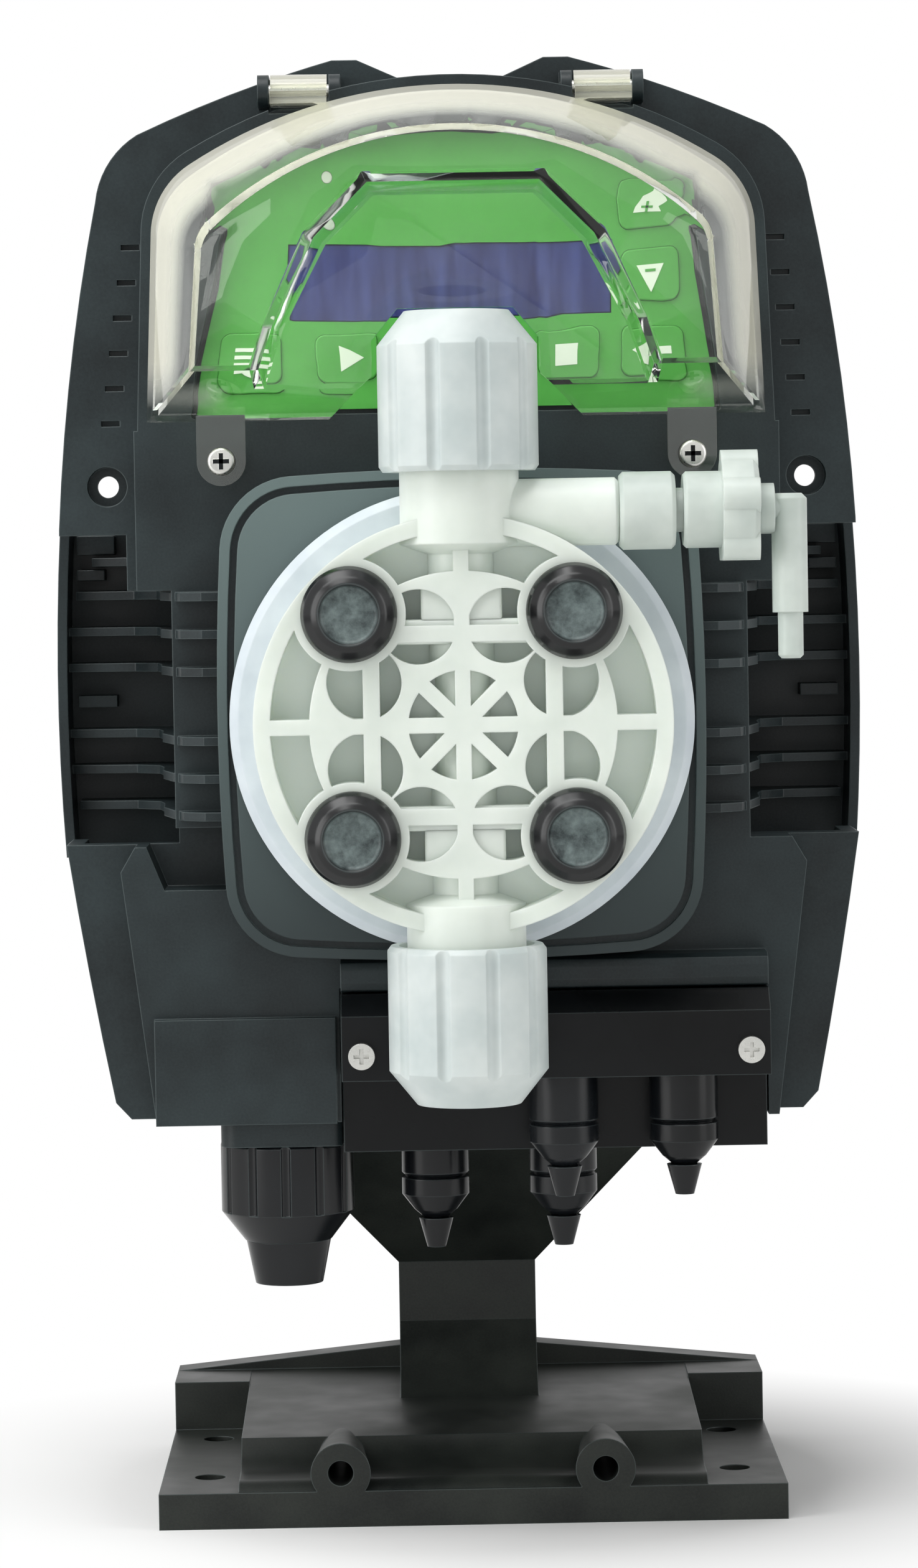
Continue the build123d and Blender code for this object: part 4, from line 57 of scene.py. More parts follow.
TONGUE_Y = -0.0663              # front of the cover's screw tongues
COVER_SCREWS = ((-0.0375, HEAD_Z + 0.0414), (0.0375, HEAD_Z + 0.0414))
SCREW_HEAD_R = 2.2 * MM
SCREW_HEAD_HIGH = 1.5 * MM
SCREW_CROWN_Y = TONGUE_Y - 1 * MM       # only edges in front of this are rounded
SCREW_ROUND = 0.6 * MM
CROSS_Y = TONGUE_Y - 1.45 * MM          # middle of the cross, which shows on the head's front
CROSS_THICK = 0.14 * MM
CROSS_BARS = ((2.6, 0.7), (0.7, 2.6))   # mm across and up

WEB_Y = RIB_FACE_Y + 2.4 * MM   # middle of the webs' thickness
WEB_THICK = 3.2 * MM
WEB_ROUND = 0.5 * MM
HEAD_WEBS = ((6.2, 16.0, 22.4), (13.0, 12.4, 16.2))     # mm: half width, nearest to the axis, furthest
STAR_FLOOR_Y = RIB_FACE_Y + 4.2 * MM
STAR_FLOOR_R = 9.2 * MM
STAR_FLOOR_THICK = 0.8 * MM

KEY_FRONT = LABEL_Y - 0.5 * MM
INK_THICK = 0.08 * MM
KEY_BAND = (9.4, 7.2, 1.5, 0.3)     # mm: width, height, corner and line of the band round a key
KEY_PLACES = {                      # mm: right of the middle, above the head axis
    "key_plus": (31.5, 80.7),
    "key_minus": (31.5, 70.0),
    "key_program": (-32.8, 58.0),
    "key_start": (-17.4, 58.0),
    "key_select": (18.3, 58.0),
    "key_escape": (31.8, 58.0),
}

CAMERA_AT = (-0.0068, -0.870, 0.163)
CAMERA_TARGET = (-0.00046, -0.050, 0.1236)
CAMERA_ROLL = -1.0              # degrees
SENSOR_LONG = 36.0              # mm along the frame's long side
FRAME_LONG = 2520               # pixels along it
FOCAL_PIXELS = 8103             # focal length in the same pixels
FLOOR_HALF = 3.0

# ---------------------------------------------------------------- patterns, in noise cells for each metre
FLOW_CLOUDS = 1000 / 22.0       # 22 mm clouds where filled plastic flowed
FLOW_MARKS = 110.0              # 9 mm marks in moulded fluoropolymer
MOULD_TOOTH = 1800.0            # 0.55 mm, coarser than a real mould's so that it shows
TARNISH_CLOUDS = 300.0          # 3.3 mm
METAL_SCRATCHES = 1000 / 0.4    # 0.4 mm, coarser than real ones so that they show
INK_DRIFT = 60.0                # 17 mm
FILM_TOOTH = 2500.0             # 0.4 mm, coarser than real film's so that it shows
COVER_RIPPLE = 90.0             # 11 mm
CAP_DISC_MOTTLE = 260.0              # 4 mm
DISPLAY_STREAKS = 500.0         # 2 mm across, and eight times as long
NOISE_SPREAD = {"From Min": 0.3, "From Max": 0.7}       # nearly all of a noise's values lie in here

# ---------------------------------------------------------------- soft edges of finishes, from none to full
CORNER_HIGHLIGHT = {"From Min": 0.985, "From Max": 0.80, "To Max": 0.35}     # painted highlight: how far a corner turns before it is painted paler
PAD_FRONT = {"From Min": PAD_FACE_Y + 0.0008, "From Max": PAD_FACE_Y + 0.0002}
# painted light and shade: between these heights the pad's front goes from dark at the bottom to light at the
# top
PAD_PAINTED_LIGHT = {"From Min": HEAD_Z - 0.034, "From Max": HEAD_Z + 0.034}
CAP_DISC = {"From Min": 4.6 * MM, "From Max": 4.2 * MM}                 # distance from a cap's middle
# painted light: faces this deep in the pockets are painted paler
POCKET_PAINTED_LIGHT = {"From Min": RIB_FACE_Y + 1 * MM, "From Max": RIB_FACE_Y + 6 * MM}
HAZE_TURN = {"From Min": 0.97, "From Max": 0.90}                        # faces that don't look forward
HAZE_RIM = {"From Min": -0.0745, "From Max": -0.0700}                   # y, towards the casing
HAZE_SIDE = {"From Min": 0.036, "From Max": 0.039}                      # x, to either side
HAZE_TOP = {"From Min": HEAD_Z + 0.083, "From Max": HEAD_Z + 0.086}
HAZE_ABOVE = {"From Min": HEAD_Z + 0.050, "From Max": HEAD_Z + 0.057}   # the sides clear below this
HAZE_TONGUE = {"From Min": HEAD_Z + 0.0476, "From Max": HEAD_Z + 0.0470}
PAPER_FADE = {"From Min": 0.062, "From Max": 0.125}                     # distance from the foot's middle


def linear(code):
    """An sRGB hex colour as linear RGBA."""
    parts = [int(code[i:i + 2], 16) / 255 for i in (1, 3, 5)]
    return [c / 12.92 if c <= 0.04045 else ((c + 0.055) / 1.055) ** 2.4 for c in parts] + [1.0]


def add(tree, kind, settings=None, links=None):
    """A node with its settings and its incoming links."""
    node = tree.nodes.new(kind)
    for key, value in (settings or {}).items():
        if isinstance(key, str) and hasattr(node, key):
            setattr(node, key, value)
        else:
            node.inputs[key].default_value = value
    for key, source in (links or {}).items():
        tree.links.new(source, node.inputs[key])
    return node


def start(name, settings):
    """A new material, its tree, its shader and object coordinates."""
    material = bpy.data.materials.new(name)
    material.use_nodes = True
    tree = material.node_tree
    tree.nodes.clear()
    shader = add(tree, "ShaderNodeBsdfPrincipled", settings)
    add(tree, "ShaderNodeOutputMaterial", None, {"Surface": shader.outputs["BSDF"]})
    place = add(tree, "ShaderNodeTexCoord").outputs["Object"]
    return material, tree, shader, place


def reopen(material):
    """A finished material's tree, its shader, the colour it has so far and object coordinates."""
    tree = material.node_tree
    shader = tree.nodes["Principled BSDF"]
    base = shader.inputs["Base Color"].links[0].from_socket
    return tree, shader, base, add(tree, "ShaderNodeTexCoord").outputs["Object"]


def moulded_plastic(name, low, high, rough=(0.34, 0.55), grain=0.35, depth=0.25, edge=0.3, shine=0.5):
    """Moulded glass-filled plastic: spark-eroded grain, faint flow clouds, soft corners painted paler as a
    painted highlight.
    """
    material, tree, shader, place = start(name, {"Specular IOR Level": shine})
    clouds = add(tree, "ShaderNodeTexNoise", {"Scale": FLOW_CLOUDS, "Detail": 3.0, "Roughness": 0.6},
                 {"Vector": place}).outputs["Fac"]
    fine = add(tree, "ShaderNodeTexNoise", {"Scale": 1000 / grain, "Detail": 2.0, "Roughness": 0.6},
               {"Vector": place}).outputs["Fac"]
    speckle = add(tree, "ShaderNodeMath", {"operation": "MULTIPLY_ADD", 1: 0.35}, {0: fine, 2: clouds})
    shade = add(tree, "ShaderNodeMapRange", {"From Min": 0.45, "From Max": 0.9},
                {"Value": speckle.outputs["Value"]})
    colour = add(tree, "ShaderNodeMix", {"data_type": "RGBA", 6: linear(low), 7: linear(high)},
                 {0: shade.outputs["Result"]})
    gloss = add(tree, "ShaderNodeMapRange", {**NOISE_SPREAD, "To Min": rough[0], "To Max": rough[1]},
                {"Value": clouds})
    tree.links.new(gloss.outputs["Result"], shader.inputs["Roughness"])
    soft = add(tree, "ShaderNodeBevel", {"samples": 6, "Radius": edge * MM})
    # corners are painted paler than the flats: a painted highlight along every edge
    turned = add(tree, "ShaderNodeVectorMath", {"operation": "DOT_PRODUCT"}, {
        0: soft.outputs["Normal"], 1: add(tree, "ShaderNodeNewGeometry").outputs["True Normal"]})
    corner = add(tree, "ShaderNodeMapRange", CORNER_HIGHLIGHT, {"Value": turned.outputs["Value"]})
    painted_light = add(tree, "ShaderNodeMix", {"data_type": "RGBA", 7: linear("#7C8A8A")},
                 {0: corner.outputs["Result"], 6: colour.outputs[2]})
    tree.links.new(painted_light.outputs[2], shader.inputs["Base Color"])
    bump = add(tree, "ShaderNodeBump", {"Strength": depth, "Distance": 0.05 * MM},
               {"Height": fine, "Normal": soft.outputs["Normal"]})
    tree.links.new(bump.outputs["Normal"], shader.inputs["Normal"])
    return material


def natural_fluoropolymer(name, low, high, rough=0.36, glow=0.3):
    """Natural PVDF as moulded: milky, light bleeds into it, faint flow marks."""
    material, tree, shader, place = start(name, {
        "Roughness": rough, "Subsurface Weight": glow, "Subsurface Scale": 3 * MM, "IOR": 1.42,
        "Subsurface Radius": (1.0, 0.95, 0.85)})
    clouds = add(tree, "ShaderNodeTexNoise", {"Scale": FLOW_MARKS, "Detail": 3.0, "Roughness": 0.55},
                 {"Vector": place})
    shade = add(tree, "ShaderNodeMapRange", NOISE_SPREAD, {"Value": clouds.outputs["Fac"]})
    colour = add(tree, "ShaderNodeMix", {"data_type": "RGBA", 6: linear(low), 7: linear(high)},
                 {0: shade.outputs["Result"]})
    tree.links.new(colour.outputs[2], shader.inputs["Base Color"])
    soft = add(tree, "ShaderNodeBevel", {"samples": 4, "Radius": 0.35 * MM})
    fine = add(tree, "ShaderNodeTexNoise", {"Scale": MOULD_TOOTH, "Detail": 1.0}, {"Vector": place})
    bump = add(tree, "ShaderNodeBump", {"Strength": 0.12, "Distance": 0.05 * MM},
               {"Height": fine.outputs["Fac"], "Normal": soft.outputs["Normal"]})
    tree.links.new(bump.outputs["Normal"], shader.inputs["Normal"])
    return material


def turned_metal(name, low, high, rough=0.28):
    """Bare metal: fine scratches in the gloss, slight tarnish clouds."""
    material, tree, shader, place = start(name, {"Metallic": 1.0})
    clouds = add(tree, "ShaderNodeTexNoise", {"Scale": TARNISH_CLOUDS, "Detail": 3.0}, {"Vector": place})
    colour = add(tree, "ShaderNodeMix", {"data_type": "RGBA", 6: linear(low), 7: linear(high)},
                 {0: clouds.outputs["Fac"]})
    tree.links.new(colour.outputs[2], shader.inputs["Base Color"])
    fine = add(tree, "ShaderNodeTexNoise", {"Scale": METAL_SCRATCHES, "Detail": 2.0}, {"Vector": place})
    gloss = add(tree, "ShaderNodeMapRange", {"To Min": rough - 0.1, "To Max": rough + 0.14},
                {"Value": fine.outputs["Fac"]})
    tree.links.new(gloss.outputs["Result"], shader.inputs["Roughness"])
    soft = add(tree, "ShaderNodeBevel", {"samples": 4, "Radius": 0.12 * MM})
    bump = add(tree, "ShaderNodeBump", {"Strength": 0.15, "Distance": 0.02 * MM},
               {"Height": fine.outputs["Fac"], "Normal": soft.outputs["Normal"]})
    tree.links.new(bump.outputs["Normal"], shader.inputs["Normal"])
    return material


def polyester_film(name, low, high):
    """Screen-printed polyester film: even colour, fine matt tooth, slight ink variation."""
    material, tree, shader, place = start(name, {"Roughness": 0.42})
    ink = add(tree, "ShaderNodeTexNoise", {"Scale": INK_DRIFT, "Detail": 4.0, "Roughness": 0.7},
              {"Vector": place})
    shade = add(tree, "ShaderNodeMapRange", NOISE_SPREAD, {"Value": ink.outputs["Fac"]})
    colour = add(tree, "ShaderNodeMix", {"data_type": "RGBA", 6: linear(low), 7: linear(high)},
                 {0: shade.outputs["Result"]})
    tree.links.new(colour.outputs[2], shader.inputs["Base Color"])
    tooth = add(tree, "ShaderNodeTexNoise", {"Scale": FILM_TOOTH, "Detail": 1.0}, {"Vector": place})
    bump = add(tree, "ShaderNodeBump", {"Strength": 0.1, "Distance": 0.03 * MM},
               {"Height": tooth.outputs["Fac"]})
    tree.links.new(bump.outputs["Normal"], shader.inputs["Normal"])
    return material


def casing_plastic(name):
    """Grey glass-filled polypropylene: grained all over; the head pad's front is painted lighter towards its
    top and darker towards its bottom, as painted light and shade.
    """
    material = moulded_plastic(name, "#131A1C", "#283234", rough=(0.3, 0.5), grain=0.4, shine=0.3)
    tree, shader, base, place = reopen(material)
    where = add(tree, "ShaderNodeSeparateXYZ", None, {"Vector": place})
    on_pad = add(tree, "ShaderNodeMapRange", PAD_FRONT, {"Value": where.outputs["Y"]})
    # painted light and shade: the pad's front is painted dark at its bottom and light at its top
    up = add(tree, "ShaderNodeMapRange", PAD_PAINTED_LIGHT, {"Value": where.outputs["Z"]})
    painted_light = add(tree, "ShaderNodeMix", {"data_type": "RGBA", 6: linear("#2E3738"), 7: linear("#5F6D6C")},
                 {0: up.outputs["Result"]})
    both = add(tree, "ShaderNodeMix", {"data_type": "RGBA"},
               {0: on_pad.outputs["Result"], 6: base, 7: painted_light.outputs[2]})
    tree.links.new(both.outputs[2], shader.inputs["Base Color"])
    return material


def clear_polycarbonate(name):
    """Injection-moulded clear polycarbonate: glassy, with the deep side walls hazed near their rim."""
    material, tree, shader, place = start(name, {
        "IOR": 1.3, "Roughness": 0.03, "Coat Weight": 0.6, "Coat Roughness": 0.03})
    normal = add(tree, "ShaderNodeSeparateXYZ", None,
                 {"Vector": add(tree, "ShaderNodeTexCoord").outputs["Normal"]})
    level = add(tree, "ShaderNodeMath", {"operation": "ABSOLUTE"}, {0: normal.outputs["Y"]})
    wall = add(tree, "ShaderNodeMapRange", HAZE_TURN, {"Value": level.outputs["Value"]})
    where = add(tree, "ShaderNodeSeparateXYZ", None, {"Vector": place})
    rim = add(tree, "ShaderNodeMapRange", HAZE_RIM, {"Value": where.outputs["Y"]})
    across = add(tree, "ShaderNodeMath", {"operation": "ABSOLUTE"}, {0: where.outputs["X"]})
    side = add(tree, "ShaderNodeMapRange", HAZE_SIDE, {"Value": across.outputs["Value"]})
    top = add(tree, "ShaderNodeMapRange", HAZE_TOP, {"Value": where.outputs["Z"]})
    outer = add(tree, "ShaderNodeMath", {"operation": "MAXIMUM"},
                {0: side.outputs["Result"], 1: top.outputs["Result"]})
    above = add(tree, "ShaderNodeMapRange", HAZE_ABOVE, {"Value": where.outputs["Z"]})
    arch = add(tree, "ShaderNodeMath", {"operation": "MULTIPLY"},
               {0: outer.outputs["Value"], 1: above.outputs["Result"]})
    tongue = add(tree, "ShaderNodeMapRange", HAZE_TONGUE, {"Value": where.outputs["Z"]})
    zone = add(tree, "ShaderNodeMath", {"operation": "MAXIMUM"},
               {0: arch.outputs["Value"], 1: tongue.outputs["Result"]})
    near = add(tree, "ShaderNodeMath", {"operation": "MULTIPLY"},
               {0: rim.outputs["Result"], 1: zone.outputs["Value"]})
    haze = add(tree, "ShaderNodeMath", {"operation": "MULTIPLY"},
               {0: near.outputs["Value"], 1: wall.outputs["Result"]})
    passing = add(tree, "ShaderNodeMapRange", {"To Min": 1.0, "To Max": 0.45},
                  {"Value": haze.outputs["Value"]})
    tree.links.new(passing.outputs["Result"], shader.inputs["Transmission Weight"])
    tint = add(tree, "ShaderNodeMix", {"data_type": "RGBA", 6: linear("#F7F9F4"), 7: linear("#D9D8CB")},
               {0: haze.outputs["Value"]})
    tree.links.new(tint.outputs[2], shader.inputs["Base Color"])
    ripple = add(tree, "ShaderNodeTexNoise", {"Scale": COVER_RIPPLE, "Detail": 1.0}, {"Vector": place})
    bump = add(tree, "ShaderNodeBump", {"Strength": 0.06, "Distance": 0.1 * MM},
               {"Height": ripple.outputs["Fac"]})
    tree.links.new(bump.outputs["Normal"], shader.inputs["Normal"])
    # the lamps shine through it onto the panel
    lets_light = add(tree, "ShaderNodeBsdfTransparent", {"Color": linear("#F4F6F2")})
    shade = add(tree, "ShaderNodeMixShader", None, {
        0: add(tree, "ShaderNodeLightPath").outputs["Is Shadow Ray"],
        1: shader.outputs["BSDF"], 2: lets_light.outputs["BSDF"]})
    tree.links.new(shade.outputs["Shader"], tree.nodes["Material Output"].inputs["Surface"])
    return material


def screw_cap_plastic(name):
    """Polished black plugs with a paler, mottled disc sunk in the middle of each."""
    material = moulded_plastic(name, "#050607", "#0B0D0F", rough=(0.14, 0.26), grain=0.2, depth=0.06,
                               edge=0.6, shine=0.4)
    tree, shader, base, place = reopen(material)
    # the four caps are folded onto one
    centred = add(tree, "ShaderNodeVectorMath", {"operation": "SUBTRACT", 1: (0, 0, HEAD_Z)}, {0: place})
    folded = add(tree, "ShaderNodeVectorMath", {"operation": "ABSOLUTE"}, {0: centred.outputs["Vector"]})
    flat = add(tree, "ShaderNodeVectorMath", {"operation": "MULTIPLY", 1: (1, 0, 1)},
               {0: folded.outputs["Vector"]})
    away = add(tree, "ShaderNodeVectorMath", {"operation": "DISTANCE", 1: (CAP_SPOT, 0, CAP_SPOT)},
               {0: flat.outputs["Vector"]})
    disc = add(tree, "ShaderNodeMapRange", CAP_DISC, {"Value": away.outputs["Value"]})
    disc_mottle = add(tree, "ShaderNodeTexNoise", {"Scale": CAP_DISC_MOTTLE, "Detail": 5.0, "Roughness": 0.7},
                 {"Vector": place})
    mottle = add(tree, "ShaderNodeMapRange", {"From Min": 0.35, "From Max": 0.65},
               {"Value": disc_mottle.outputs["Fac"]})
    pale_disc = add(tree, "ShaderNodeMix", {"data_type": "RGBA", 6: linear("#2E3738"), 7: linear("#6B7877")},
               {0: mottle.outputs["Result"]})
    both = add(tree, "ShaderNodeMix", {"data_type": "RGBA"},
               {0: disc.outputs["Result"], 6: base, 7: pale_disc.outputs[2]})
    tree.links.new(both.outputs[2], shader.inputs["Base Color"])
    return material


def ribbed_head_pvdf(name):
    """Natural PVDF head: the pocket floors are painted paler, nearly as pale as the ribs, as painted light
    against the shade in the pockets.
    """
    material = natural_fluoropolymer(name, "#D2DAD2", "#DDE4DC", glow=0.4)
    tree, shader, base, place = reopen(material)
    where = add(tree, "ShaderNodeSeparateXYZ", None, {"Vector": place})
    # painted light: the deeper a face lies, the paler it is painted
    pocket_light = add(tree, "ShaderNodeMapRange", POCKET_PAINTED_LIGHT, {"Value": where.outputs["Y"]})
    both = add(tree, "ShaderNodeMix", {"data_type": "RGBA", 7: linear("#EEF5EF")},
               {0: pocket_light.outputs["Result"], 6: base})
    tree.links.new(both.outputs[2], shader.inputs["Base Color"])
    return material


def display_glass(name):
    """Unlit blue liquid-crystal window: deep violet with faint upright streaks, semi-gloss."""
    material, tree, shader, place = start(name, {"Roughness": 0.3, "Specular IOR Level": 0.25})
    squeeze = add(tree, "ShaderNodeMapping", {"Scale": (1.0, 1.0, 0.12)}, {"Vector": place})
    streaks = add(tree, "ShaderNodeTexNoise", {"Scale": DISPLAY_STREAKS, "Detail": 3.0},
                  {"Vector": squeeze.outputs["Vector"]})
    shade = add(tree, "ShaderNodeMapRange", {"From Min": 0.3, "From Max": 0.72},
                {"Value": streaks.outputs["Fac"]})
    colour = add(tree, "ShaderNodeMix", {"data_type": "RGBA", 6: linear("#1F2257"), 7: linear("#3E4680")},
                 {0: shade.outputs["Result"]})
    tree.links.new(colour.outputs[2], shader.inputs["Base Color"])
    return material


# ---------------------------------------------------------------- the pump's finishes
# black and dark grey mouldings: satin and grained where filled, smoother and glossier where not
casing = casing_plastic("glass_filled_polypropylene_casing")
lid_moulding = moulded_plastic("smooth_black_polypropylene_lid", "#060708", "#0E1113", rough=(0.24, 0.36),
                               grain=0.2, depth=0.1, shine=0.2)
foot_moulding = moulded_plastic("glass_filled_polypropylene_foot", "#141716", "#2B2F2B",
                                rough=(0.34, 0.55), shine=0.28)
gland_polyamide = moulded_plastic("black_polyamide_glands", "#08090B", "#131619", rough=(0.16, 0.28),
                                  grain=0.2, depth=0.12, shine=0.3)
cap_polypropylene = screw_cap_plastic("black_polypropylene_caps")
nitrile = moulded_plastic("black_nitrile_rubber", "#101010", "#1F1F1F", rough=(0.6, 0.75), grain=0.15)

# milky white wetted parts: they take light in at their edges
head_pvdf = ribbed_head_pvdf("natural_pvdf_head")
nut_pvdf = natural_fluoropolymer("natural_pvdf_nuts", "#B6C0BF", "#CBD2D0", glow=0.35)
bleed_pvdf = natural_fluoropolymer("natural_pvdf_bleed_valve", "#B4BEB8", "#C9D1CB", glow=0.35)
flange_moulding = natural_fluoropolymer("white_polypropylene_flange", "#BBC4CA", "#CCD4D8", glow=0.2)
diaphragm_ptfe = natural_fluoropolymer("ptfe_faced_diaphragm", "#DAD9D2", "#ECEBE6", rough=0.45)
ball_ceramic = natural_fluoropolymer("polished_alumina_balls", "#E4E0D2", "#F1EEE4", rough=0.12, glow=0.1)

# the panel: matt green film and ink behind a glassy cover
PANEL_GREEN = ("#3F9434", "#4A9F40")
cover_clear = clear_polycarbonate("clear_polycarbonate_cover")
label_green = polyester_film("green_polyester_film", *PANEL_GREEN)
key_green = polyester_film("green_film_over_keys", *PANEL_GREEN)
green_ink = polyester_film("green_screen_ink", *PANEL_GREEN)
white_ink = polyester_film("white_screen_ink", "#D5E2D2", "#E4EDE2")
lcd = display_glass("liquid_crystal_window")
lamp_lens = natural_fluoropolymer("diffusing_lamp_lens", "#C9D8C4", "#DCE6D8", rough=0.25)

# bare metal: bright screws, duller zinc plate, dark spring wire, yellow brass
stainless = turned_metal("stainless_steel_screws", "#BFC0BC", "#DAD9D4")
zinc_steel = turned_metal("zinc_plated_mild_steel", "#9C9FA3", "#C3C5C8", rough=0.38)
spring_wire = turned_metal("spring_steel_wire", "#8E9092", "#B5B6B8", rough=0.25)
brass = turned_metal("drawn_brass_tube", "#B08D45", "#CFAE62", rough=0.3)

# electrical parts: glossy resin and lacquer, satin green terminals
coil_resin = moulded_plastic("epoxy_cast_winding", "#241A12", "#3A2A1D", rough=(0.2, 0.35))
board_green = moulded_plastic("lacquered_glass_epoxy_board", "#0F3D22", "#1C5A34", rough=(0.2, 0.3),
                              grain=0.6)
terminal_green = moulded_plastic("green_polyamide_terminals", "#2C7A3F", "#3D9452", rough=(0.35, 0.5))

finishes = {
    casing: ("front_housing", "rear_housing"),
    lid_moulding: ("terminal_cover",),
    foot_moulding: ("foot_bracket",),
    cover_clear: ("panel_cover",),
    label_green: ("panel_label",),
    key_green: tuple(KEY_PLACES),
    lcd: ("lcd_module",),
    lamp_lens: ("led_lenses",),
    board_green: ("control_board",),
    terminal_green: ("terminal_block",),
    head_pvdf: ("pump_head",),
    flange_moulding: ("head_flange",),
    cap_polypropylene: ("head_screw_caps",),
    nut_pvdf: ("discharge_union_nut", "suction_union_nut", "discharge_hose_nipple", "suction_hose_nipple",
               "discharge_valve_body", "suction_valve_body"),
    bleed_pvdf: ("bleed_valve_body", "bleed_knob", "bleed_elbow", "bleed_needle"),
    nitrile: ("port_seals", "stroke_buffer", "discharge_valve_seat", "suction_valve_seat"),
    diaphragm_ptfe: ("diaphragm",),
    ball_ceramic: ("discharge_valve_ball", "suction_valve_ball"),
    stainless: ("head_screws", "bracket_screws", "case_screws", "cover_screws", "terminal_cover_screws",
                "cover_hinge_pins"),
    zinc_steel: ("plunger", "yoke_frame", "yoke_front_plate"),
    spring_wire: ("return_spring", "push_rod"),
    brass: ("guide_tube",),
    coil_resin: ("solenoid_coil",),
    gland_polyamide: ("power_gland_body", "power_gland_nut", "power_gland_sleeve", "signal_gland_bodies",
                      "signal_gland_nuts", "signal_gland_plugs"),
}
for finish, names in finishes.items():
    for name in names:
        mesh = nodes[name].data
        mesh.materials.clear()
        mesh.materials.append(finish)


# ---------------------------------------------------------------- tools for the pieces
def put_in_scene(name, data):
    """A new object in the scene, from its mesh, its lamp or its lens."""
    thing = bpy.data.objects.new(name, data)
    bpy.context.scene.collection.objects.link(thing)
    return thing


def make_piece(bm, name, *finish, crease=None):
    """A piece from its bmesh: flat-faced, or smooth except at edges sharper than so many degrees."""
    mesh = bpy.data.meshes.new(name)
    bm.to_mesh(mesh)
    bm.free()
    if crease is not None:
        mesh.shade_smooth()
        mesh.set_sharp_from_angle(angle=math.radians(crease))
    for material in finish:
        mesh.materials.append(material)
    return put_in_scene(name, mesh)


def block(bm, middle, size):
    """The corners of a new block."""
    return bmesh.ops.create_cube(
        bm, size=1.0, matrix=Matrix.Translation(middle) @ Matrix.Diagonal((*size, 1)))["verts"]


def disc_facing_front(bm, middle, radius, thick, sides):
    """The corners of a new round disc."""
    return bmesh.ops.create_cone(
        bm, cap_ends=True, segments=sides, radius1=radius, radius2=radius, depth=thick,
        matrix=Matrix.Translation(middle) @ Matrix.Rotation(math.radians(90), 4, "X"))["verts"]


def round_edges(bm, edges, radius, segments=3):
    """Rounds some of a shape's edges."""
    bmesh.ops.bevel(bm, geom=list(edges), offset=radius, segments=segments, profile=0.5, affect="EDGES",
                    clamp_overlap=True, material=-1)


# ---------------------------------------------------------------- clear cover with rounded edges
bm = bmesh.new()
bm.from_mesh(nodes["panel_cover"].data)
bm.transform(nodes["panel_cover"].matrix_world)
bmesh.ops.remove_doubles(bm, verts=bm.verts[:], dist=0.005 * MM)
bmesh.ops.dissolve_limit(bm, angle_limit=math.radians(0.5), verts=bm.verts[:], edges=bm.edges[:])
round_edges(bm, [
    edge for edge in bm.edges
    if edge.is_manifold and edge.calc_face_angle(0) > math.radians(25)
    and max(corner.co.y for corner in edge.verts) < COVER_FRONT_Y and edge.calc_length() > 0.8 * MM],
    COVER_ROUND)
clear_cover = make_piece(bm, "clear_cover", cover_clear, crease=30)
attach(clear_cover, "cover")
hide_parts("panel_cover")

# ---------------------------------------------------------------- webs across the head's pockets
bm = bmesh.new()
for side in (-1, 1):
    for half_wide, low, high in HEAD_WEBS:
        corners = block(bm, (0, WEB_Y, HEAD_Z + side * (low + high) / 2 * MM),
                        (2 * half_wide * MM, WEB_THICK, (high - low) * MM))
        round_edges(bm, {edge for corner in corners for edge in corner.link_edges}, WEB_ROUND)
# thin floor behind the eight-spoked star
disc_facing_front(bm, (0, STAR_FLOOR_Y, HEAD_Z), STAR_FLOOR_R, STAR_FLOOR_THICK, 48)
head_webs = make_piece(bm, "head_webs", head_pvdf, crease=40)
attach(head_webs, "casing")

# ---------------------------------------------------------------- return spring, as a piece of its own on the casing
spring_mesh = nodes["return_spring"].data.copy()
spring_mesh.transform(nodes["return_spring"].matrix_world)
closing_spring = put_in_scene("closing_spring", spring_mesh)
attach(closing_spring, "casing")
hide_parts("return_spring")
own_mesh(closing_spring)

# ---------------------------------------------------------------- small cross-head cover screws
bm = bmesh.new()
for x, z in COVER_SCREWS:
    corners = disc_facing_front(bm, (x, TONGUE_Y - SCREW_HEAD_HIGH / 2, z), SCREW_HEAD_R, SCREW_HEAD_HIGH, 40)
    round_edges(bm, {edge for corner in corners for edge in corner.link_edges
                     if all(end.co.y < SCREW_CROWN_Y for end in edge.verts)}, SCREW_ROUND, 4)
for x, z in COVER_SCREWS:
    for wide, high in CROSS_BARS:
        corners = block(bm, (x, CROSS_Y, z), (wide * MM, CROSS_THICK, high * MM))
        for face in {face for corner in corners for face in corner.link_faces}:
            face.material_index = 1     # the cross is a dark sheet: painted shade in place of a cross recess
cross_head_screws = make_piece(bm, "cross_head_screws", stainless, lid_moulding, crease=40)
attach(cross_head_screws, "cover")
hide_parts("cover_screws")


# ---------------------------------------------------------------- printed key symbols
def bar(bm, wide, high, x=0.0, up=0.0):
    """A flat printed bar, drawn face up in millimetres."""
    bmesh.ops.create_grid(bm, x_segments=1, y_segments=1, size=0.5,
                          matrix=Matrix.Translation((x, up, 0)) @ Matrix.Diagonal((wide, high, 1, 1)))


def triangle(bm, reach, turn=0.0, x=0.0, up=0.0):
    """A flat printed triangle that points up, or is turned by so many degrees."""
    bmesh.ops.create_circle(
        bm, cap_ends=True, segments=3, radius=reach,
        matrix=Matrix.Translation((x, up, 0)) @ Matrix.Rotation(math.radians(turn), 4, "Z"))


def key_outline(bm, wide, high, corner, line):
    """The printed band round a key's edge."""
    bar(bm, wide, high)
    bmesh.ops.bevel(bm, geom=bm.verts[:], offset=corner, segments=5, profile=0.5, affect="VERTICES",
                    material=-1)
    middle = bm.faces[:]
    bmesh.ops.inset_region(bm, faces=middle, thickness=line, use_even_offset=True)
    bmesh.ops.delete(bm, geom=middle, context="FACES")


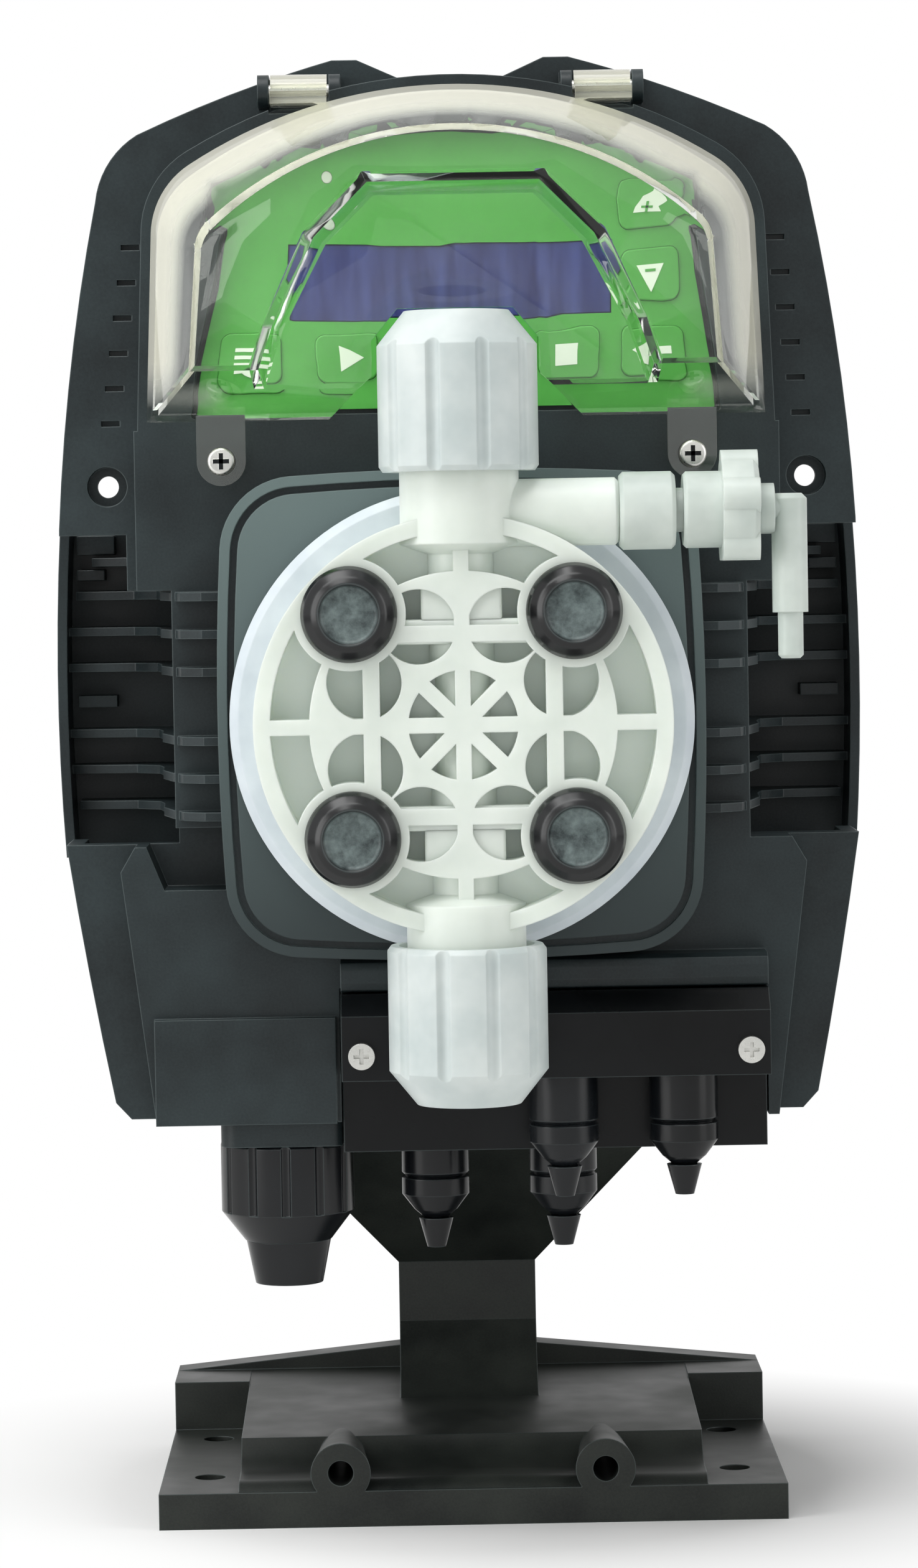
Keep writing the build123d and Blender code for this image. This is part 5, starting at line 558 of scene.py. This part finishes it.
def print_on_key(bm, name, ink, key, proud=0.0):
    """Gives flat ink its thickness and lays it on a key's front."""
    x, height = KEY_PLACES[key]
    grown = bmesh.ops.extrude_face_region(bm, geom=bm.faces[:])
    raised = [v for v in grown["geom"] if isinstance(v, bmesh.types.BMVert)]
    bmesh.ops.translate(bm, verts=raised, vec=(0, 0, INK_THICK / MM))
    lay = (Matrix.Translation((x * MM, KEY_FRONT - proud, HEAD_Z + height * MM))
           @ Matrix.Rotation(math.radians(90), 4, "X") @ Matrix.Diagonal((MM, MM, MM, 1)))
    bmesh.ops.transform(bm, matrix=lay, verts=bm.verts[:])
    bmesh.ops.recalc_face_normals(bm, faces=bm.faces[:])
    piece = make_piece(bm, name, ink)
    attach(piece, key)


for key in KEY_PLACES:
    bm = bmesh.new()
    key_outline(bm, *KEY_BAND)
    if key == "key_plus":
        triangle(bm, 2.7, up=-0.2)
    elif key == "key_minus":
        triangle(bm, 2.7, 180, up=0.2)
    elif key == "key_program":
        for up in (1.2, 0.0, -1.2):
            bar(bm, 5.0, 0.6, up=up)
    elif key == "key_start":
        triangle(bm, 2.4, -90, -0.2)
    elif key == "key_select":
        bar(bm, 3.4, 3.4)
    else:
        triangle(bm, 2.2, 90, -1.2)
        bar(bm, 3.0, 1.2, 1.3)
    print_on_key(bm, key + "_print", white_ink, key)

# the plus and minus, in green on the white triangles
for key, up in (("key_plus", -0.7), ("key_minus", 0.7)):
    bm = bmesh.new()
    bar(bm, 1.8, 0.4, up=up)
    if key == "key_plus":
        bar(bm, 0.4, 1.8, up=up)
    print_on_key(bm, key + "_sign", green_ink, key, INK_THICK)


# ---------------------------------------------------------------- camera, lights, floor
def aim_at(thing, place, target):
    """Puts a lamp or camera somewhere and points it; gives its turn."""
    thing.location = place
    thing.rotation_mode = "QUATERNION"
    thing.rotation_quaternion = (Vector(target) - Vector(place)).to_track_quat("-Z", "Y")
    return thing.rotation_quaternion


def softbox(name, place, target, size, power):
    """A large area lamp aimed at a point."""
    lamp = bpy.data.lights.new(name, "AREA")
    lamp.shape = "RECTANGLE"
    lamp.size, lamp.size_y = size
    lamp.energy = power
    aim_at(put_in_scene(name, lamp), place, target)


lens = bpy.data.cameras.new("camera")
lens.sensor_width = SENSOR_LONG
lens.lens = SENSOR_LONG * FOCAL_PIXELS / FRAME_LONG
camera = put_in_scene("camera", lens)
roll = Matrix.Rotation(math.radians(CAMERA_ROLL), 3, "Z").to_quaternion()
camera.rotation_quaternion = aim_at(camera, CAMERA_AT, CAMERA_TARGET) @ roll
bpy.context.scene.camera = camera
bpy.context.scene.view_settings.view_transform = "Standard"

softbox("softbox_above", (-0.25, -0.35, 0.95), (0, -0.05, 0.12), (0.7, 0.7), 7.0)
softbox("softbox_left", (-0.85, -0.55, 0.35), (0, -0.06, 0.13), (0.5, 0.9), 5.0)
softbox("softbox_right", (0.85, -0.45, 0.30), (0, -0.06, 0.13), (0.4, 0.8), 2.5)

# the world is white to the eye, in glass and in mirrors, and dimmer as a light
world = bpy.data.worlds.new("studio")
world.use_nodes = True
sky = world.node_tree
sky.nodes.clear()
path = add(sky, "ShaderNodeLightPath").outputs
seen = add(sky, "ShaderNodeMath", {"operation": "MAXIMUM"},
           {0: path["Is Camera Ray"], 1: path["Is Transmission Ray"]})
seen_or_mirrored = add(sky, "ShaderNodeMath", {"operation": "MAXIMUM"},
                       {0: seen.outputs["Value"], 1: path["Is Glossy Ray"]})
dim = add(sky, "ShaderNodeBackground", {"Strength": 0.4, "Color": (1, 1, 1, 1)})
bright = add(sky, "ShaderNodeBackground", {"Strength": 1.0, "Color": (1, 1, 1, 1)})
choose = add(sky, "ShaderNodeMixShader", None, {
    0: seen_or_mirrored.outputs["Value"], 1: dim.outputs["Background"], 2: bright.outputs["Background"]})
add(sky, "ShaderNodeOutputWorld", None, {"Surface": choose.outputs["Shader"]})
bpy.context.scene.world = world

# white seamless paper: takes the pump's shadow close by, and is plain white to the eye further off
paper, paper_tree, paper_shader, paper_place = start("white_seamless_paper", {
    "Roughness": 0.9, "Specular IOR Level": 0.1, "Base Color": linear("#F7F7F6")})
away = add(paper_tree, "ShaderNodeVectorMath", {"operation": "LENGTH"}, {0: paper_place})
fade = add(paper_tree, "ShaderNodeMapRange", PAPER_FADE, {"Value": away.outputs["Value"]})
paper_seen = add(paper_tree, "ShaderNodeMath", {"operation": "MULTIPLY"}, {
    0: fade.outputs["Result"], 1: add(paper_tree, "ShaderNodeLightPath").outputs["Is Camera Ray"]})
plain_white = add(paper_tree, "ShaderNodeEmission", {"Color": (1, 1, 1, 1), "Strength": 1.0})
blend = add(paper_tree, "ShaderNodeMixShader", None, {
    0: paper_seen.outputs["Value"], 1: paper_shader.outputs["BSDF"], 2: plain_white.outputs["Emission"]})
paper_tree.links.new(blend.outputs["Shader"], paper_tree.nodes["Material Output"].inputs["Surface"])

bm = bmesh.new()
bmesh.ops.create_grid(bm, x_segments=1, y_segments=1, size=FLOOR_HALF)
floor = make_piece(bm, "floor", paper)
